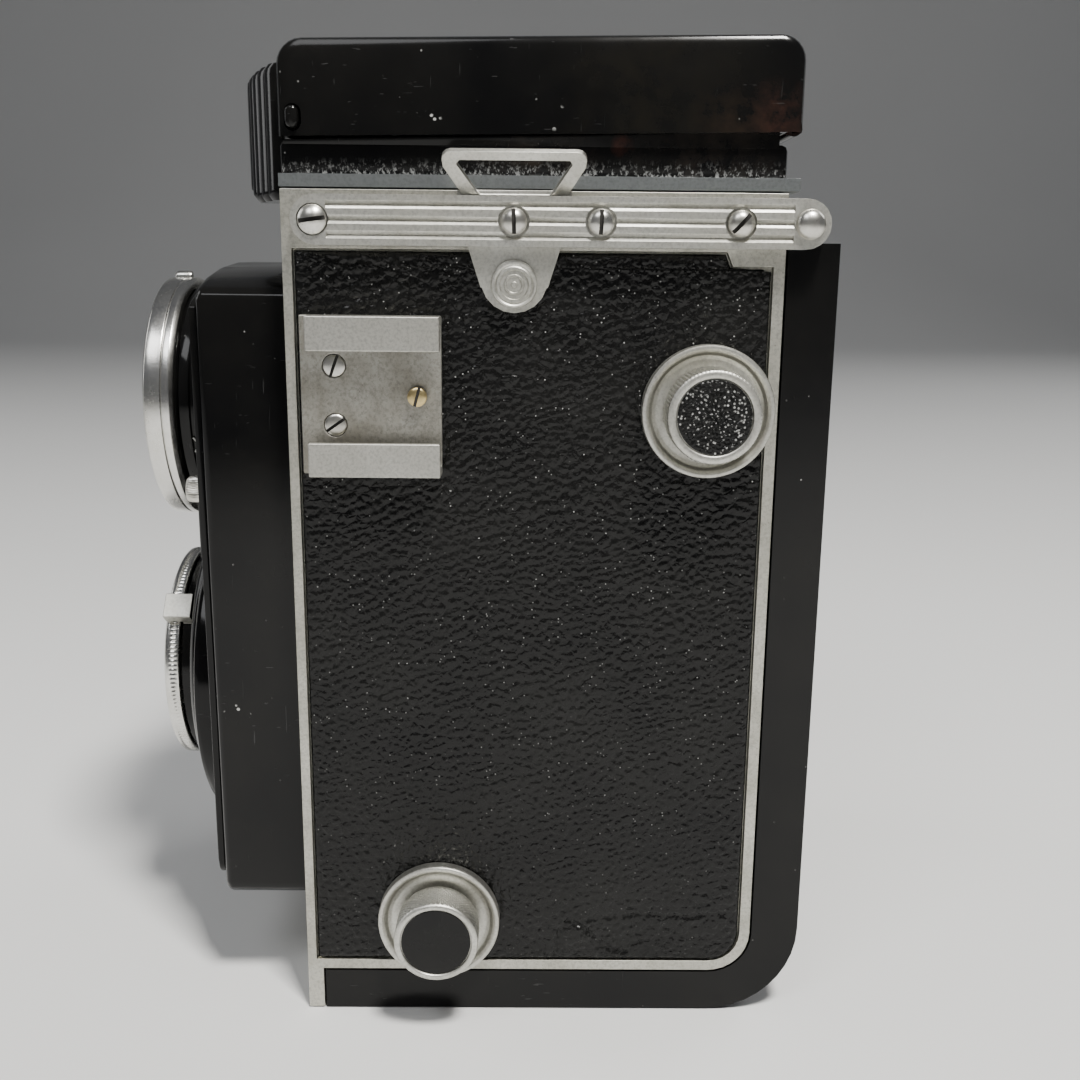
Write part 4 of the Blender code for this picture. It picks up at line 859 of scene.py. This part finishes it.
# ------------------------------------------------------------------ fluted front plate
def front_plate():
    a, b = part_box("front_name_plate")
    z0, z1 = a.z / MM, b.z / MM
    flutes, per = 17, 12
    nx, nz = flutes * per, 26
    verts, faces = [], []

    def front(x):
        t = (x + 30.0) / 60.0
        g = abs(math.sin(math.pi * flutes * t)) ** 0.55
        return -40.2 - 8.6 * (1 - (x / 30.0) ** 2) - 0.85 * g + 0.55

    def low(x):
        return max(z0, 72.3 + math.sqrt(max(0.0, 54.2 ** 2 - x * x)) + 0.02) if abs(x) < 19.4 else z0

    grid = []
    for j in range(nz + 1):
        row = []
        for i in range(nx + 1):
            x = -30.0 + 60.0 * i / nx
            zl = low(x)
            z = zl + (z1 - zl) * j / nz
            ends = min((z1 - z) / 0.9, (z - zl) / 0.5, 1.0)
            side = min((30.0 - abs(x)) / 0.7, 1.0)
            inset = 0.55 * (1 - max(ends, 0)) ** 2 + 0.6 * (1 - max(side, 0)) ** 2
            row.append(len(verts))
            verts.append((x, front(x) + inset, z))
        grid.append(row)
    for j in range(nz):
        for i in range(nx):
            faces.append((grid[j][i], grid[j][i + 1], grid[j + 1][i + 1], grid[j + 1][i]))
    bgrid = []
    for j in (0, nz):
        row = []
        for i in range(nx + 1):
            x = -30.0 + 60.0 * i / nx
            zl = low(x)
            z = zl if j == 0 else z1
            row.append(len(verts))
            verts.append((x, -39.15 - 6.0 * max(0.0, 1 - (x / 27.0) ** 2), z))
        bgrid.append(row)
    for i in range(nx):
        faces.append((bgrid[0][i + 1], bgrid[0][i], bgrid[1][i], bgrid[1][i + 1]))
        faces.append((grid[0][i + 1], grid[0][i], bgrid[0][i], bgrid[0][i + 1]))
        faces.append((grid[nz][i], grid[nz][i + 1], bgrid[1][i + 1], bgrid[1][i]))
    for i in (0, nx):
        loop = [grid[j][i] for j in range(nz + 1)] + [bgrid[1][i], bgrid[0][i]]
        faces.append(tuple(loop if i else loop[::-1]))
    new_object("fluted_plate", verts, faces, "enamel_box", "body", ("front_name_plate",), 50)


front_plate()

# ------------------------------------------------------------------ carried-over pieces
paint("body_casting", "alu_strip", 0.18)
paint("back_door", "enamel_body", 0.9, 3, 50)
paint("side_rail_left", "alu", 0.12)
paint("side_rail_right", "alu", 0.12)
paint("strap_lug_left", "alu", 0.22)
paint("strap_lug_right", "alu", 0.22)
# the channel floor gets the darker copy of the shoe metal, as painted shade under the lips
paint("accessory_shoe", "alu_shoe", 0.22, second=("alu_shaded_floor", lambda c: c.x < 39.9))
for nm, sz, ang in (("upper", 100.45, 70), ("lower", 92.25, 35)):
    prof = [(0, 39.62), (0.7, 39.6), (1.2, 39.52), (1.45, 39.42), (1.54, 39.3), (1.54, 38.45), (0, 38.45)]
    s = turned("shoe_screw_" + nm, 'X', (-31.2, sz), prof, 40, "nickel", "body", ("shoe_screw_" + nm,))
    cut_with_box(s, (39.65, -31.2, sz), (0.9, 6.0, 0.42), Matrix.Rotation(math.radians(ang), 4, 'X'))
prof = [(0, 40.9), (0.6, 40.88), (1.1, 40.8), (1.3, 40.66), (1.35, 40.5), (1.35, 39.65), (0.8, 39.65), (0.8, 38.4), (0, 38.4)]
s = turned("shoe_stop_screw_head", 'X', (-19.7, 96.35), prof, 40, "brass", "body", ("shoe_stop_screw",))
cut_with_box(s, (40.95, -19.7, 96.35), (1.0, 6.0, 0.42), Matrix.Rotation(math.radians(75), 4, 'X'))
paint("hood_base", "enamel_hood", 0.2, second=("worn_metal", lambda c: c.z < 126.02))
paint("hood_lid", "enamel_lid", 0.25)
paint("hood_wing_left", "enamel_matt", 0.08)
paint("hood_wing_right", "enamel_matt", 0.08)
paint("hood_front_panel", "enamel_matt", 0.08)
paint("lid_catch_button", "enamel_body", 0.15)
paint("lid_hinge_pin", "nickel", 0.08)
paint("magnifier_arm", "nickel", 0.12)
paint("magnifier_lens", "glass", 0.0)
paint("focusing_screen", "clear", 0.1)
paint("mirror", "mirror", 0.1)
paint("light_box", "enamel_matt", 0.2)
paint("film_roller_upper", "nickel", 0.1)
paint("film_roller_lower", "nickel", 0.1)
paint("take_up_spool", "enamel_matt", 0.15)
paint("supply_spool", "enamel_matt", 0.15)
paint("pressure_plate", "enamel_matt", 0.2)
paint("pressure_plate_bracket", "nickel", 0.2)
turned("tripod_bush_cup", 'Z', (0, -14.0), [(0, 3.2), (7.5, 3.2), (7.6, 3.1), (7.6, 2.1), (5.9, 2.1), (5.9, 0.2), (5.8, 0.1),
       (4.95, 0.1), (4.8, 0.25), (4.8, 2.5), (0, 2.5)], 48, "brass", "back", ("tripod_bush",))
paint("back_latch", "nickel", 0.0)
paint("lens_box", "enamel_box", 0.25)
paint("face_plate", "enamel_box", 0.35)
paint("aperture_lever_ring", "enamel_box", 0.15,
      second=("alu", lambda c: math.hypot(c.x, c.z - TZ) > 18.05))
paint("shutter_release_lever", "nickel", 0.2)

# ------------------------------------------------------------------ floor and light
bpy.ops.mesh.primitive_grid_add(x_subdivisions=2, y_subdivisions=60, size=1)
floor = bpy.context.object
floor.name = "floor"
bm = bmesh.new()
bm.from_mesh(floor.data)
for v in bm.verts:
    # runs flat under the camera, then curves up into a backdrop behind it
    t = (v.co.y + 0.5)
    v.co.y = v.co.x * 6.0
    s = t * 5.0
    if s < 3.0:
        v.co.x, v.co.z = 1.4 - s, -0.0002
    else:
        a = min((s - 3.0) / 1.0, math.pi / 2)
        extra = max(0.0, (s - 3.0) - math.pi / 2)
        v.co.x, v.co.z = -1.6 - math.sin(a) * 1.0, 1.0 - math.cos(a) + extra - 0.0002
bmesh.ops.recalc_face_normals(bm, faces=bm.faces)
bm.to_mesh(floor.data)
bm.free()
floor.data.shade_smooth()
fm = Nodes("floor_paper")
floor.data.materials.append(fm.set(Base_Color=fm.mix(fm.noise(3, 3), (0.74, 0.74, 0.73), (0.78, 0.78, 0.77)), Roughness=0.85))

world = bpy.data.worlds.new("studio")
scene.world = world
world.use_nodes = True
bg = world.node_tree.nodes["Background"]
bg.inputs["Color"].default_value = (0.90, 0.93, 1.0, 1)
bg.inputs["Strength"].default_value = 0.10


def area(name, loc, target, size, power, colour=(1, 1, 1)):
    d = bpy.data.lights.new(name, 'AREA')
    d.shape = 'RECTANGLE'
    d.size, d.size_y = size
    d.energy = power
    d.color = colour
    o = bpy.data.objects.new(name, d)
    scene.collection.objects.link(o)
    o.location = Vector(loc)
    o.rotation_mode = 'QUATERNION'
    o.rotation_quaternion = (Vector(target) - Vector(loc)).to_track_quat('-Z', 'Y')
    return o


area("key", (0.34, 0.16, 0.78), (0.02, 0, 0.08), (0.13, 0.13), 11.0, (1.0, 0.98, 0.94))
area("fill", (0.62, -0.35, 0.95), (0, 0, 0.07), (0.4, 0.4), 3.0, (0.97, 0.98, 1.0))
area("rear", (-0.6, 1.0, 0.9), (0, 0, 0.07), (0.7, 0.7), 5.0)
area("front", (-0.2, -1.2, 0.6), (0, 0, 0.07), (0.5, 0.9), 4.0)
